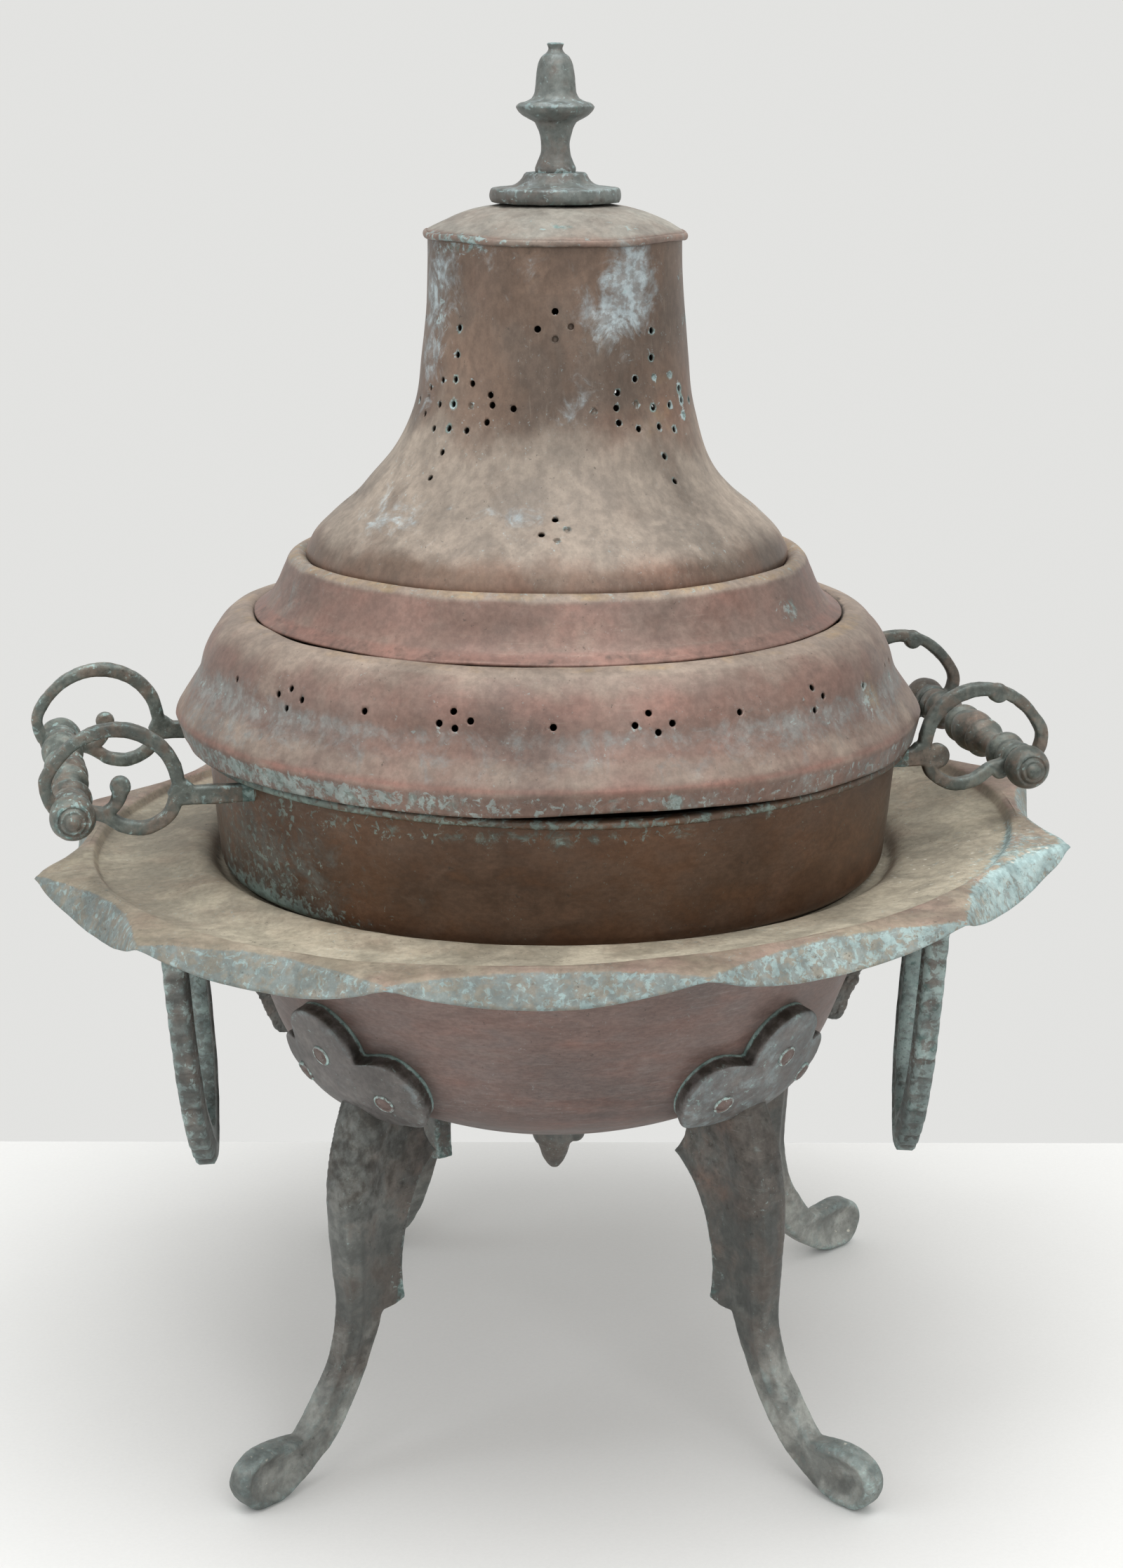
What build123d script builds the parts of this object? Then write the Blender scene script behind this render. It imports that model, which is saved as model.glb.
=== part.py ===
from build123d import *
from math import cos, hypot, pi, radians, sin, sqrt
import os

# Copper and brass brazier: a lobed tray on four cabriole legs with a round bowl below it,
# a lift-out fire pan with two grips, a tiered pierced lid and two swinging drop handles.
# Millimetres, +Z up, the lid's axis on Z and the soles of the feet on Z = 0.
# An azimuth of 0 looks along -Y and grows towards +X.

# ---- driving dimensions ----
SHEET = 2.0  # raised copper sheet
JOINT = 0.1  # seam between pieces fixed to each other
HEIGHT = 862.0

TIP_R = 325.0  # tray, out to the points of its twelve lobes
LOBE_MID_R = 304.0
LOBES = 12
RIM_Z = 385.0
APRON = 19.0
MOUTH_R = 216.0  # tray opening
SEAT_Z = 364.0  # ledge that the pan stands on

PAN_R_TOP, PAN_R_LOW = 216.5, 210.0
PAN_TOP_Z = 447.0
PAN_FLANGE_R = 225.0

LEG_AZIMUTHS = {"front_left": -44.6, "front_right": 44.6, "rear_right": 133.0, "rear_left": -146.0}
LEG_OUT = {"front_left": 0.0, "front_right": 0.0, "rear_right": 20.0, "rear_left": 0.0}  # splay of each leg
LEG_T = 14.0
PLATE_T = 11.0  # cast plates on the bowl
RIVET_R = 5.0

HANDLE_AZIMUTH = {"left": -77.7, "right": 101.4}
HANDLE_REACH = {"left": 317.0, "right": 306.0}
ARM_SPREAD = 82.0  # each arm's distance from the handle's middle plane
ARM_T = 8.0

BAIL_X = 231.0  # hinge pins of the drop handles
BAIL_PIN_Z = {"left": 334.0, "right": 345.0}
BAIL_DROP = 187.0
BAIL_W = 98.0
BAIL_T = 14.0
BAIL_LEAN = {"left": 4.3, "right": 3.8}
BAIL_SET = 7.0  # how far the stirrup stands outside its pins, so that it hangs leaning in
PIN_R = 4.0
PIN_GAP = 0.08

HOLE_R = 2.0  # piercings of the lid

os.makedirs("parts", exist_ok=True)


# ---- helpers ----
def polar(azimuth, radius, z=0.0, side=0.0):
    """Point at a radius and height, moved sideways towards a growing azimuth."""
    a = radians(azimuth)
    return Vector(radius * sin(a) + side * cos(a), -radius * cos(a) + side * sin(a), z)


def turn(shape, azimuth):
    """Turns a shape drawn along +X to an azimuth."""
    return Rot(0, 0, azimuth - 90) * shape


def inner_line(points, t):
    """Points a sheet's thickness away on the right-hand side of the line's travel."""
    out = []
    for i, p in enumerate(points):
        normals = []
        for a, b in ((i - 1, i), (i, i + 1)):
            if a >= 0 and b < len(points):
                dr, dz = points[b][0] - points[a][0], points[b][1] - points[a][1]
                length = hypot(dr, dz)
                normals.append((dz / length, -dr / length))
        n1, n2 = normals[0], normals[-1]
        k = t / (1 + n1[0] * n2[0] + n1[1] * n2[1])
        out.append((p[0] + k * (n1[0] + n2[0]), p[1] + k * (n1[1] + n2[1])))
    return out


def revolved(points, t, line=Spline):
    """Round sheet whose outer face runs down through (radius, height) points."""
    a = [(r, 0, z) for r, z in points]
    b = [(r, 0, z) for r, z in inner_line(points, t)]
    sides = [line(*a), Line(a[-1], b[-1]), line(*b[::-1]), Line(b[0], a[0])]
    wire = Wire([e for s in sides for e in s.edges()])
    return revolve(Face(wire), Axis.Z, 360)


def turned(points):
    """Solid of revolution from a closed (radius, height) outline with straight sides."""
    return revolve(Face(Wire(Polyline(*[(r, 0, z) for r, z in points], close=True))), Axis.Z, 360)


def turned_curve(points):
    """Turned piece on Z: a smooth outline from its lowest to its highest point."""
    curve = Spline(*[(r, 0, z) for r, z in points])
    low, high = points[0], points[-1]
    edges = [curve]
    if high[0] > 0:
        edges.append(Line((high[0], 0, high[1]), (0, 0, high[1])))
    edges.append(Line((0, 0, high[1]), (0, 0, low[1])))
    if low[0] > 0:
        edges.append(Line((0, 0, low[1]), (low[0], 0, low[1])))
    return revolve(Face(Wire(edges)), Axis.Z, 360)


def save(name, shape):
    whole = shape if isinstance(shape, Compound) else Compound(children=shape.solids())
    export_step(whole, f"parts/{name}.step")


# ---- bowl under the tray ----
BOWL = [(214, 361.2), (200, 322), (187, 286), (168, 246), (130, 221.5), (75, 200.5), (6, 192)]
BOWL_CURVE = Spline(*[(r, 0, z) for r, z in BOWL])


def bowl_at(z, off=0.0):
    """Radius, height and outward tilt below level of the bowl's outer face near a height."""
    low, high = 0.0, 1.0
    for _ in range(40):
        mid = (low + high) / 2
        low, high = (mid, high) if BOWL_CURVE.position_at(mid).Z > z else (low, mid)
    p, t = BOWL_CURVE.position_at(low), BOWL_CURVE.tangent_at(low)
    n = Vector(-t.Z, 0, t.X).normalized()
    return p.X + off * n.X, p.Z + off * n.Z, n


def bowl_jacket(inner, outer):
    """Layer that lies on the bowl between two distances from its outer face."""
    a, b = inner_line(BOWL[:-1], -inner), inner_line(BOWL[:-1], -outer)
    a, b = [(r, 0, z) for r, z in a], [(r, 0, z) for r, z in b]
    wire = Wire([Spline(*a), Line(a[-1], b[-1]), Spline(*b[::-1]), Line(b[0], a[0])])
    return revolve(Face(wire), Axis.Z, 360)


def bowl_rivet_frame(azimuth, z):
    """Plane on the bowl's face, its normal pointing outward."""
    r, h, n = bowl_at(z)
    a = radians(azimuth)
    normal = Vector(n.X * sin(a), -n.X * cos(a), n.Z)
    return Plane(origin=polar(azimuth, r, h), z_dir=normal)


def rivet_places():
    """Three rivets through each leg's plate: one in its upper lobe, two wide below."""
    for azimuth in LEG_AZIMUTHS.values():
        for side, z in ((0.0, 277.0), (-12.8, 255.0), (12.8, 255.0)):
            yield bowl_rivet_frame(azimuth + side, z)


def drum(plane, r, low, high):
    return plane.offset(low) * extrude(Circle(r), high - low)


def make_bowl():
    bowl = revolved(BOWL, SHEET)
    return bowl - [drum(p, RIVET_R + 0.1, -8, 8) for p in rivet_places()]


def make_rivets():
    rivets = []
    for p in rivet_places():
        head = drum(p, 7.0, PLATE_T + 0.3, PLATE_T + 1.8)
        shank = drum(p, RIVET_R, -SHEET - 0.6, PLATE_T + 0.5)
        tail = drum(p, 7.0, -SHEET - 2.4, -SHEET - 0.5)
        rivets.append((head + shank + tail).solids()[0])
    return Compound(children=rivets)


def plate_outline(azimuth):
    """Trefoil outline of a leg's mounting plate, pushed outward from the axis."""
    shape = Pos(0, 280) * Circle(27)
    shape += [Pos(s * 44, 261) * Circle(22) for s in (-1, 1)]
    shape += Pos(0, 254) * Rectangle(76, 34)
    plane = Plane(origin=(0, 0, 0), x_dir=(0, 1, 0), z_dir=(1, 0, 0))
    return turn(plane * extrude(shape, 260), azimuth)


def make_leg_plate(azimuth):
    plate = bowl_jacket(JOINT, PLATE_T) & plate_outline(azimuth)
    return plate - [drum(p, RIVET_R + 0.1, -2, PLATE_T + 4) for p in rivet_places()]


# ---- tray ----
def lobed(outer_r, inset=0.0):
    """Twelve-sided outline with points between hollowed sides."""
    step = 360 / LOBES
    edges = []
    for k in range(LOBES):
        tips = [polar((k + s) * step, outer_r - inset) for s in (-0.5, 0.5)]
        mid = polar(k * step, LOBE_MID_R - inset)
        edges.append(ThreePointArc(tips[0], mid, tips[1]))
    return Face(Wire(edges))


def make_tray():
    top = [(TIP_R + 4, RIM_Z), (287, RIM_Z - 1), (282, RIM_Z - 6.5), (MOUTH_R, SEAT_Z + 5),
           (MOUTH_R - 3, SEAT_Z), (197, SEAT_Z)]
    low = inner_line(top, -SHEET)
    sheet = turned(top + low[::-1]) & (Pos(0, 0, 300) * extrude(lobed(TIP_R), 120))
    wall = extrude(lobed(TIP_R), 60) - extrude(lobed(TIP_R, SHEET), 60)
    wall = Pos(0, 0, RIM_Z - 60) * wall
    half = TIP_R * sin(pi / LOBES)
    flap_line = [Line((-half - 1, 0), (half + 1, 0)), Line((half + 1, 0), (half + 1, -2.5)),
                 ThreePointArc((half + 1, -2.5), (0, -APRON), (-half - 1, -2.5)),
                 Line((-half - 1, -2.5), (-half - 1, 0))]
    upright_plane = Plane(origin=(270, 0, RIM_Z), x_dir=(0, 1, 0), z_dir=(1, 0, 0))
    flap = upright_plane * extrude(Face(Wire(flap_line)), 70)
    flaps = [turn(flap, k * 360 / LOBES) for k in range(LOBES)]
    apron = [wall & f for f in flaps]
    return (sheet + apron).solids()[0]


# ---- fire pan ----
def make_pan():
    floor = SEAT_Z + 0.3
    line = [(PAN_R_TOP, PAN_TOP_Z - 5), (PAN_R_LOW, floor + 8), (PAN_R_LOW - 2.5, floor + 2.5),
            (PAN_R_LOW - 9, floor), (0.01, floor)]
    wall = revolved(line, SHEET, Polyline)
    flange = turned([(PAN_R_TOP - SHEET, PAN_TOP_Z - 6), (PAN_FLANGE_R - 2, PAN_TOP_Z - 6),
                     (PAN_FLANGE_R, PAN_TOP_Z - 4), (PAN_FLANGE_R, PAN_TOP_Z - 2),
                     (PAN_FLANGE_R - 2, PAN_TOP_Z), (PAN_R_TOP - SHEET, PAN_TOP_Z)])
    plug = Pos(0, 0, floor) * extrude(Circle(4), SHEET)
    return (wall + flange + plug).solids()[0]


def handle_plane(side, offset):
    """Upright plane of a handle's arm: local x is the distance out, local y the height."""
    azimuth = HANDLE_AZIMUTH[side]
    tangent = polar(azimuth, 0, 0, 1)
    return Plane(origin=tangent * offset, x_dir=polar(azimuth, 1), z_dir=tangent * -1)


def bar(points, width):
    """Flat bar of even width along a smooth line, with round ends."""
    line = Spline(*points)
    shape = trace(line, width)
    return shape + [Pos(*p) * Circle(width / 2) for p in (points[0], points[-1])]


def make_arm(side, offset):
    """Openwork arm: a big ring, a small scroll under it and a lug against the pan."""
    m = HANDLE_REACH[side] - 4.0  # middle of the bar at its furthest reach
    ring = [(m - 77, 441), (m - 72, 458), (m - 59, 471), (m - 42, 476), (m - 24, 472.5), (m - 8, 460),
            (m, 445), (m - 4, 432), (m - 15, 424)]
    lower = [(m - 76, 438), (m - 71, 424), (m - 58, 416.5), (m - 44, 418), (m - 33, 425), (m - 20, 428)]
    shape = bar(ring, 8.0) + bar(lower, 8.0)
    if side == "left":
        shape += bar([(m - 33, 426), (m - 40, 431), (m - 43, 440)], 8.0)
        shape += Pos(m - 43, 442) * Circle(6)
    else:
        shape += Pos(m - 68, 435) * Circle(7.5)
    shape += Pos(m - 14.5, 428.5) * Circle(12)
    wall = sqrt(PAN_R_TOP**2 - ARM_SPREAD**2)
    lug = Polyline((wall - 12, 429), (m - 74, 429), (m - 74, 444), (m - 82, 443.5), (m - 86, 440),
                   (wall - 12, 439.5), close=True)
    shape += Face(Wire(lug))
    arm = handle_plane(side, offset) * (Pos(0, 0, -ARM_T / 2) * extrude(shape, ARM_T))
    room = turned([(0, 400), (PAN_R_LOW + 2.8, 400), (PAN_R_TOP + JOINT, PAN_TOP_Z - 5),
                   (PAN_R_TOP + JOINT, 500), (0, 500)])
    arm = (arm - room).solids()
    arm = max(arm, key=lambda s: s.volume)
    spindle = grip_plane(side) * (Pos(0, 0, -130) * extrude(Circle(4.1), 260))
    return arm - spindle


def grip_plane(side):
    """Plane across the grip at its middle, its normal along the grip."""
    azimuth = HANDLE_AZIMUTH[side]
    return Plane(origin=polar(azimuth, HANDLE_REACH[side] - 18.5, 428.5), z_dir=polar(azimuth, 0, 0, 1))


def make_grip(side):
    """Turned baluster between the arms, with a slim tenon through each arm."""
    half = [(14.5, 0), (13.5, 9), (10.5, 15), (13.0, 19), (13.2, 22), (9.5, 27), (7.5, 38), (9.5, 50),
            (13.5, 57), (13.8, 61), (10.0, 66), (12.0, 70), (12.0, ARM_SPREAD - ARM_T / 2 - 0.2)]
    line = half[:0:-1]
    line = [(r, -z) for r, z in line] + half
    curve = Spline(*[(r, 0, z) for r, z in line])
    top, low = line[-1], line[0]
    edges = [curve, Line((top[0], 0, top[1]), (0, 0, top[1])), Line((0, 0, top[1]), (0, 0, low[1])),
             Line((0, 0, low[1]), (low[0], 0, low[1]))]
    body = revolve(Face(Wire(edges)), Axis.Z, 360)
    body += Pos(0, 0, -ARM_SPREAD - 8) * extrude(Circle(4), 2 * ARM_SPREAD + 16)
    return grip_plane(side) * body


def make_grip_knobs(side):
    """Two rounded end knobs, one outside each arm."""
    start = ARM_SPREAD + ARM_T / 2 + 0.2
    knob = turned_curve([(10.5, start), (14.0, start + 7), (14.3, start + 15), (11.0, start + 24),
                         (0, start + 29)])
    knob -= Pos(0, 0, start - 1) * extrude(Circle(4.1), 6)
    plane = grip_plane(side)
    return Compound(children=[(plane * k).solids()[0] for k in (knob, Rot(180, 0, 0) * knob)])


# ---- lid ----
SKIRT = [(179, 517.5), (184, 523), (193, 521.5), (204, 513), (210.5, 502), (215, 487), (221, 478), (228, 470.5),
         (230.5, 462), (229.5, 453), (227, 448)]
TIER = [(145.5, 548), (151, 557.5), (156.5, 559), (161, 550), (166, 538.5), (173, 528.5), (180.5, 523.5)]
BELL = [(76.7, 750), (77.2, 730), (78.6, 705), (81.2, 678), (86.5, 645), (97, 616), (113, 596), (131, 581),
        (143.5, 567), (147, 557), (144, 550.5)]
CAP = [(7, 768.6), (22, 768.5), (38, 767.4), (58, 762.5), (72, 756), (78.3, 751.5)]


def surface(points, height):
    """Radius of a sheet's outer face at a height, and the slope of its outward normal."""
    for (r1, z1), (r2, z2) in zip(points, points[1:]):
        if min(z1, z2) <= height <= max(z1, z2) and abs(z1 - z2) > 1e-6:
            return r1 + (r2 - r1) * (height - z1) / (z2 - z1), (r1 - r2, z1 - z2)


def piercing(points, azimuth, height):
    """Round cutter square to the sheet."""
    r, (dr, dz) = surface(points, height)
    length = hypot(dr, dz)
    nr, nz = abs(dz) / length, (-dr if dz > 0 else dr) / length
    a = radians(azimuth)
    plane = Plane(origin=polar(azimuth, r, height), z_dir=Vector(nr * sin(a), -nr * cos(a), nz))
    return drum(plane, HOLE_R, -9, 5)


def around(points, azimuth, height, gap_deg, gap_z):
    """Diamond of four piercings about a middle."""
    steps = ((1, 0), (-1, 0), (0, 1), (0, -1))
    return [piercing(points, azimuth + a * gap_deg, height + z * gap_z) for a, z in steps]


def make_skirt():
    body = revolved(SKIRT, SHEET)
    band = turned([(222, 447.4), (228, 447.4), (229, 450), (226.5, 450.5), (222, 449.5)])
    cuts = []
    for k in range(LOBES):
        cuts += around(SKIRT, 15 + k * 30, 497, 2.6, 5.5)
        cuts.append(piercing(SKIRT, k * 30, 497))
    return ((body + band).solids()[0] - cuts).solids()[0]


def make_tier():
    return revolved(TIER, SHEET)


def make_bell():
    cuts = []
    for k in range(4):
        az, mid = 45 + 90 * k, 655
        cuts.append(piercing(BELL, az, mid))
        for step in (1, 2, 3):
            cuts += around(BELL, az, mid, 9.5 * step, 14.5 * step)
        for a in (-1, 1):
            for z in (-1, 1):
                cuts.append(piercing(BELL, az + a * 9.5, mid + z * 14.5))
                cuts.append(piercing(BELL, az + a * 18, mid + z * 8))
        cuts += around(BELL, 90 * k, 701, 7.0, 8.0)
        cuts += around(BELL, 90 * k, 589, 3.2, 4.5)
    return (revolved(BELL, SHEET) - cuts).solids()[0]


def make_cap():
    dome = revolved(CAP, SHEET)
    lip = turned([(77.2, 749.6), (79.2, 748.4), (80, 750), (79.4, 752.6), (77.2, 752.6)])
    return (dome + lip).solids()[0]


def make_finial_base():
    disc = turned([(7, 769), (38.2, 769), (39.4, 770.5), (39.4, 776), (37.5, 777.8), (26, 778.8), (7, 778.8)])
    step = turned([(7, 778.5), (25, 778.5), (21, 780.5), (19, 783), (18.3, 786.4), (7, 786.4)])
    return (disc + step).solids()[0]


def make_finial_knob():
    stem = turned_curve([(12.0, 786.5), (12.0, 789), (9.2, 797), (8.6, 802), (10.4, 810), (12, 814), (20.5, 819.5),
                         (23.3, 824), (18, 828), (12.7, 831), (11.4, 840), (10.8, 847), (8.4, 853.5), (5.2, 856.5),
                         (4.4, 858.4), (5.2, 861), (4.6, HEIGHT)])
    tail = Pos(0, 0, 762.5) * extrude(Circle(6), 26)
    peened = Pos(0, 0, 760.5) * extrude(Circle(10), 3.5)
    return (stem + tail + peened).solids()[0]


# ---- legs ----
def upright(points):
    """(out, up) points as points of the plane through the axis and +X."""
    return [(u, 0, z) for u, z in points]


def make_leg(azimuth, out):
    """Flat cast cabriole leg: a thicker shin, a calf with a horn and a cut tail, and a curled pad foot."""
    shin_edge = [(171, 253), (174, 243), (181, 226), (187, 208), (190.5, 190), (192, 165), (190.5, 130),
                 (189.5, 104), (193, 85), (199.5, 68), (209.5, 54), (219.5, 41), (226.5, 34)]
    toe = [(226.5, 34), (240, 36), (253, 37), (264.5, 34.5), (273, 28), (275.8, 20), (272.5, 9.5), (264, 0.8),
           (255, -0.8), (246, -0.3)]
    heel = [(246, -0.3), (233, 4.5), (218, 13), (204.5, 23), (193, 36), (175.5, 64.5), (164, 90), (161, 98)]
    calf = [(141.7, 101), (143.7, 120), (139, 148), (122.5, 180), (110, 190)]
    throat = [(110, 190), (119.5, 205), (121, 219)]
    edges = [Spline(*upright(shin_edge)), Spline(*upright(toe)), Spline(*upright(heel)),
             Line(*upright([heel[-1], calf[0]])), Spline(*upright(calf)), Spline(*upright(throat)),
             Line(*upright([throat[-1], (118, 238)])), Line(*upright([(118, 238), shin_edge[0]]))]
    leg = extrude(Face(Wire(edges)), LEG_T / 2, both=True)
    leg = Pos(out, 0, 0) * (leg + make_shin())
    leg -= Pos(0, 0, -60) * Box(800, 800, 120)
    leg = turn(leg, azimuth) - bowl_core(azimuth)
    return max(leg.solids(), key=lambda solid: solid.volume)


def make_shin():
    """Rounded thickening down the leg's outer edge, from (out, up, half depth, half width, lean) sections."""
    sections = [(157, 247, 14, 10, 90), (167, 226, 14, 10, 92), (173, 206, 14, 10, 93), (177.5, 182, 13.5, 9.5, 91),
                (179, 152, 12.7, 9, 90), (178.6, 126, 11.6, 8.6, 89), (179.2, 104, 10.2, 8.2, 84),
                (183, 85, 9.8, 7.8, 73), (188, 69, 9.5, 7.3, 64)]
    rings = []
    for u, z, deep, wide, lean in sections:
        a = radians(lean)
        plane = Plane(origin=(u, 0, z), x_dir=(sin(a), 0, cos(a)), z_dir=(-cos(a), 0, sin(a)))
        rings.append((plane * Ellipse(deep, wide)).face())
    return loft(rings)


def bowl_fill():
    """Everything inside the bowl's outer face, and a seam more."""
    fill = upright(inner_line(BOWL, -JOINT))
    low, high = (0, 0, fill[-1][2]), (0, 0, fill[0][2])
    edges = [Spline(*fill), Line(fill[-1], low), Line(low, high), Line(high, fill[0])]
    return revolve(Face(Wire(edges)), Axis.Z, 360)


def bowl_core(azimuth):
    """Room taken by the bowl and by the leg's own plate."""
    return bowl_fill() + (bowl_jacket(-1, PLATE_T + JOINT) & plate_outline(azimuth))


# ---- drop handles ----
def bail_side(side):
    return -1 if side == "left" else 1


def make_bracket(side):
    """Cast plate on the bowl under the tray, with two ears for the hinge pin."""
    dz = BAIL_PIN_Z[side] - BAIL_PIN_Z["left"]
    outline = Pos(0, 316 + dz) * Ellipse(34, 30)
    outline += Pos(0, 275 + dz) * Rectangle(34, 60) + Pos(0, 262 + dz) * Ellipse(17, 15)
    plane = Plane(origin=(0, 0, 0), x_dir=(0, 1, 0), z_dir=(1, 0, 0))
    plate = bowl_jacket(JOINT, 8.0) & (plane * extrude(outline, 270))
    pz = BAIL_PIN_Z[side]
    ear = upright([(198, pz - 22), (222, pz - 14), (BAIL_X + 5, pz - 8.5), (BAIL_X + 9.5, pz),
                   (BAIL_X + 4, pz + 9), (BAIL_X - 6, pz + 9), (205, pz + 6), (196, pz + 2)])
    ear_face = Face(Wire(Polyline(*ear, close=True)))
    for s in (-1, 1):
        plate += Pos(0, s * 22 + 4, 0) * extrude(ear_face, 8)
    plate = plate - bowl_fill()
    plate = plate - pin_rod(1, pz, PIN_R + 0.05, 40)
    body = max(plate.solids(), key=lambda s: s.volume)
    return body if bail_side(side) > 0 else mirror(body, Plane.YZ)


def pin_rod(sign, z, r, half):
    return Pos(sign * BAIL_X, half, z) * (Rot(90, 0, 0) * extrude(Circle(r), 2 * half))


def make_pin(side):
    s, z = bail_side(side), BAIL_PIN_Z[side]
    pin = pin_rod(s, z, PIN_R, 50)
    for y in (-51.5, 51.5):
        pin += Pos(s * BAIL_X, y + 1.5, z) * (Rot(90, 0, 0) * extrude(Circle(6.5), 3))
    return pin.solids()[0]


def make_bail(side):
    """Stirrup-shaped drop handle that hangs from two eyes on its pin."""
    half, deep = BAIL_W / 2, BAIL_DROP
    out = [(-half + 3, 0), (-half, -60), (-half + 3, -110), (-half + 17, -155), (0, -deep), (half - 17, -155),
           (half - 3, -110), (half, -60), (half - 3, 0)]
    inn = [(half - 20, 0), (half - 18, -60), (half - 20, -105), (half - 31, -142), (0, -deep + 25), (-half + 31, -142),
           (-half + 20, -105), (-half + 18, -60), (-half + 20, 0)]
    face = Face(Wire([Spline(*out), Line(out[-1], inn[0]), Spline(*inn), Line(inn[-1], out[0])]))
    plane = Plane(origin=(BAIL_SET - BAIL_T / 2, 0, 0), x_dir=(0, 1, 0), z_dir=(1, 0, 0))
    body = plane * extrude(face, BAIL_T)
    for s in (-1, 1):
        body += Pos(0, s * (half - 11.5) + 8, 0) * (Rot(90, 0, 0) * extrude(Circle(9), 16))
    body = body.solids()[0] - Pos(0, 80, 0) * (Rot(90, 0, 0) * extrude(Circle(PIN_R + PIN_GAP), 160))
    body = Rot(0, BAIL_LEAN[side], 0) * body
    if side == "left":
        body = mirror(body, Plane.YZ)
    return Pos(bail_side(side) * BAIL_X, 0, BAIL_PIN_Z[side]) * body


def make_bottom_finial():
    bud = turned_curve([(3, 144.6), (7.5, 152), (10.5, 162), (13.5, 168), (13.5, 176), (10.0, 183), (12.0, 190.5)])
    lug = Pos(13.5, 0, 170) * Sphere(2.6)
    tail = Pos(0, 0, 188) * extrude(Circle(5), 8)
    peened = Pos(0, 0, 194.4) * extrude(Circle(9), 3)
    return (bud + lug + tail + peened).solids()[0]


# ---- every node ----
save("lid_skirt", make_skirt())
save("lid_middle_tier", make_tier())
save("lid_bell", make_bell())
save("lid_cap", make_cap())
save("finial_base", make_finial_base())
save("finial_knob", make_finial_knob())

save("fire_pan", make_pan())
for hand in ("left", "right"):
    save(f"{hand}_arm_front", make_arm(hand, ARM_SPREAD if hand == "left" else -ARM_SPREAD))
    save(f"{hand}_arm_rear", make_arm(hand, -ARM_SPREAD if hand == "left" else ARM_SPREAD))
    save(f"{hand}_grip", make_grip(hand))
    save(f"{hand}_grip_knobs", make_grip_knobs(hand))

save("tray", make_tray())
save("bowl", make_bowl())
save("leg_rivets", make_rivets())
for name, azimuth in LEG_AZIMUTHS.items():
    save(f"leg_{name}", make_leg(azimuth, LEG_OUT[name]))
    save(f"leg_plate_{name}", make_leg_plate(azimuth))
for hand in ("left", "right"):
    save(f"{hand}_bail_bracket", make_bracket(hand))
    save(f"{hand}_bail_pin", make_pin(hand))
    save(f"{hand}_bail", make_bail(hand))
save("bottom_finial", make_bottom_finial())
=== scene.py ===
"""The looks of an old copper and brass brazier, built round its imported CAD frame.

Shapes are worked out in millimetres in the frame's own axes and written to the meshes in metres.
An azimuth of 0 points along -Y and grows towards +X. Left is towards -X, and the front towards -Y.
"""
from math import cos, degrees, pi, radians, sin, sqrt

import bmesh
import bpy
import numpy as np
from mathutils import Matrix, Vector, noise


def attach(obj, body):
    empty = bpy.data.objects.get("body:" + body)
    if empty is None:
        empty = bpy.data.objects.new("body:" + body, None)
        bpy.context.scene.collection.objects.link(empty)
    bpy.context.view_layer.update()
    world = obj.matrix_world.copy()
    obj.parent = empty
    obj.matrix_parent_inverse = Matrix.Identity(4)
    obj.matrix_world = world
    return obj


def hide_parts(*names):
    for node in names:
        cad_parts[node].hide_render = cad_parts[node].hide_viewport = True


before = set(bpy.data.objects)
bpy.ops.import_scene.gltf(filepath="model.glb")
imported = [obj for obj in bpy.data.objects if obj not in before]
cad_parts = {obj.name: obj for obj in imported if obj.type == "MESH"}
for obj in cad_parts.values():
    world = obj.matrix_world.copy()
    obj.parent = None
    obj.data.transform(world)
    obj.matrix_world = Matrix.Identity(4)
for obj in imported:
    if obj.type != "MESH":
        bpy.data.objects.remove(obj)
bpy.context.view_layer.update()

MM = 0.001
CAST_VOXEL = 1.0  # size of the grid that joins a casting's masses

# ---- the object's driving dimensions, in millimetres ----
SHEET = 2.0
LOBES, TIP_R, LOBE_MID_R, RIM_Z, APRON = 12, 325.0, 304.0, 385.0, 19.0
TRAY_TILT, TRAY_SHIFT = 0.034, 6.0  # the old tray hangs lower and further out on its left
SEAT_Z = 364.0
PAN_R_TOP, PAN_R_LOW, PAN_TOP_Z, PAN_FLANGE_R = 216.5, 210.0, 447.0, 225.0
PAN_SHIFT = 1.6  # the pan has slipped a little to the left
LID_BULGE, LID_SHIFT = 4.0, 2.6  # the lid swells to its left, and its tiers sit off the axis
PIERCING_R, PIERCED, CLOGGED = 2.0, 9.0, 1.3  # a piercing's radius, and its depth where open or clogged
LEG_AZIMUTHS = {"front_left": -44.6, "front_right": 44.6, "rear_right": 133.0, "rear_left": -146.0}
LEG_OUT = {"front_left": 0.0, "front_right": 0.0, "rear_right": 27.0, "rear_left": 0.0}
LEG_T = 13.6
STAND_LEAN = 2.2  # the old legs have worked a little to the right
PLATE_T, PLATE_MIDDLE_Z = 11.0, 262.0
PLATE_TURN = -1.6  # plates sit a little nearer the sides than their legs
HANDLE_AZIMUTH = {"left": -77.7, "right": 101.4}
HANDLE_REACH = {"left": 324.0, "right": 298.0}
ARM_SPREAD, ARM_T = 82.0, 8.0
GRIP_IN, GRIP_Z, GRIP_SLIM = 18.5, 428.5, 0.93  # its middle is that far in from the arm's furthest reach
KNOB_START, KNOB_SHORT = 86.2, 0.9
BAIL_X, BAIL_SET, BAIL_DROP, BAIL_W, BAIL_T = 231.0, 12.0, 187.0, 98.0, 14.0
BAIL_PIN_Z = {"left": 334.0, "right": 345.0}
BAIL_LEAN = {"left": 4.3, "right": 3.8}
EYE_Y, EYE_R = 37.5, 9.0

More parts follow.
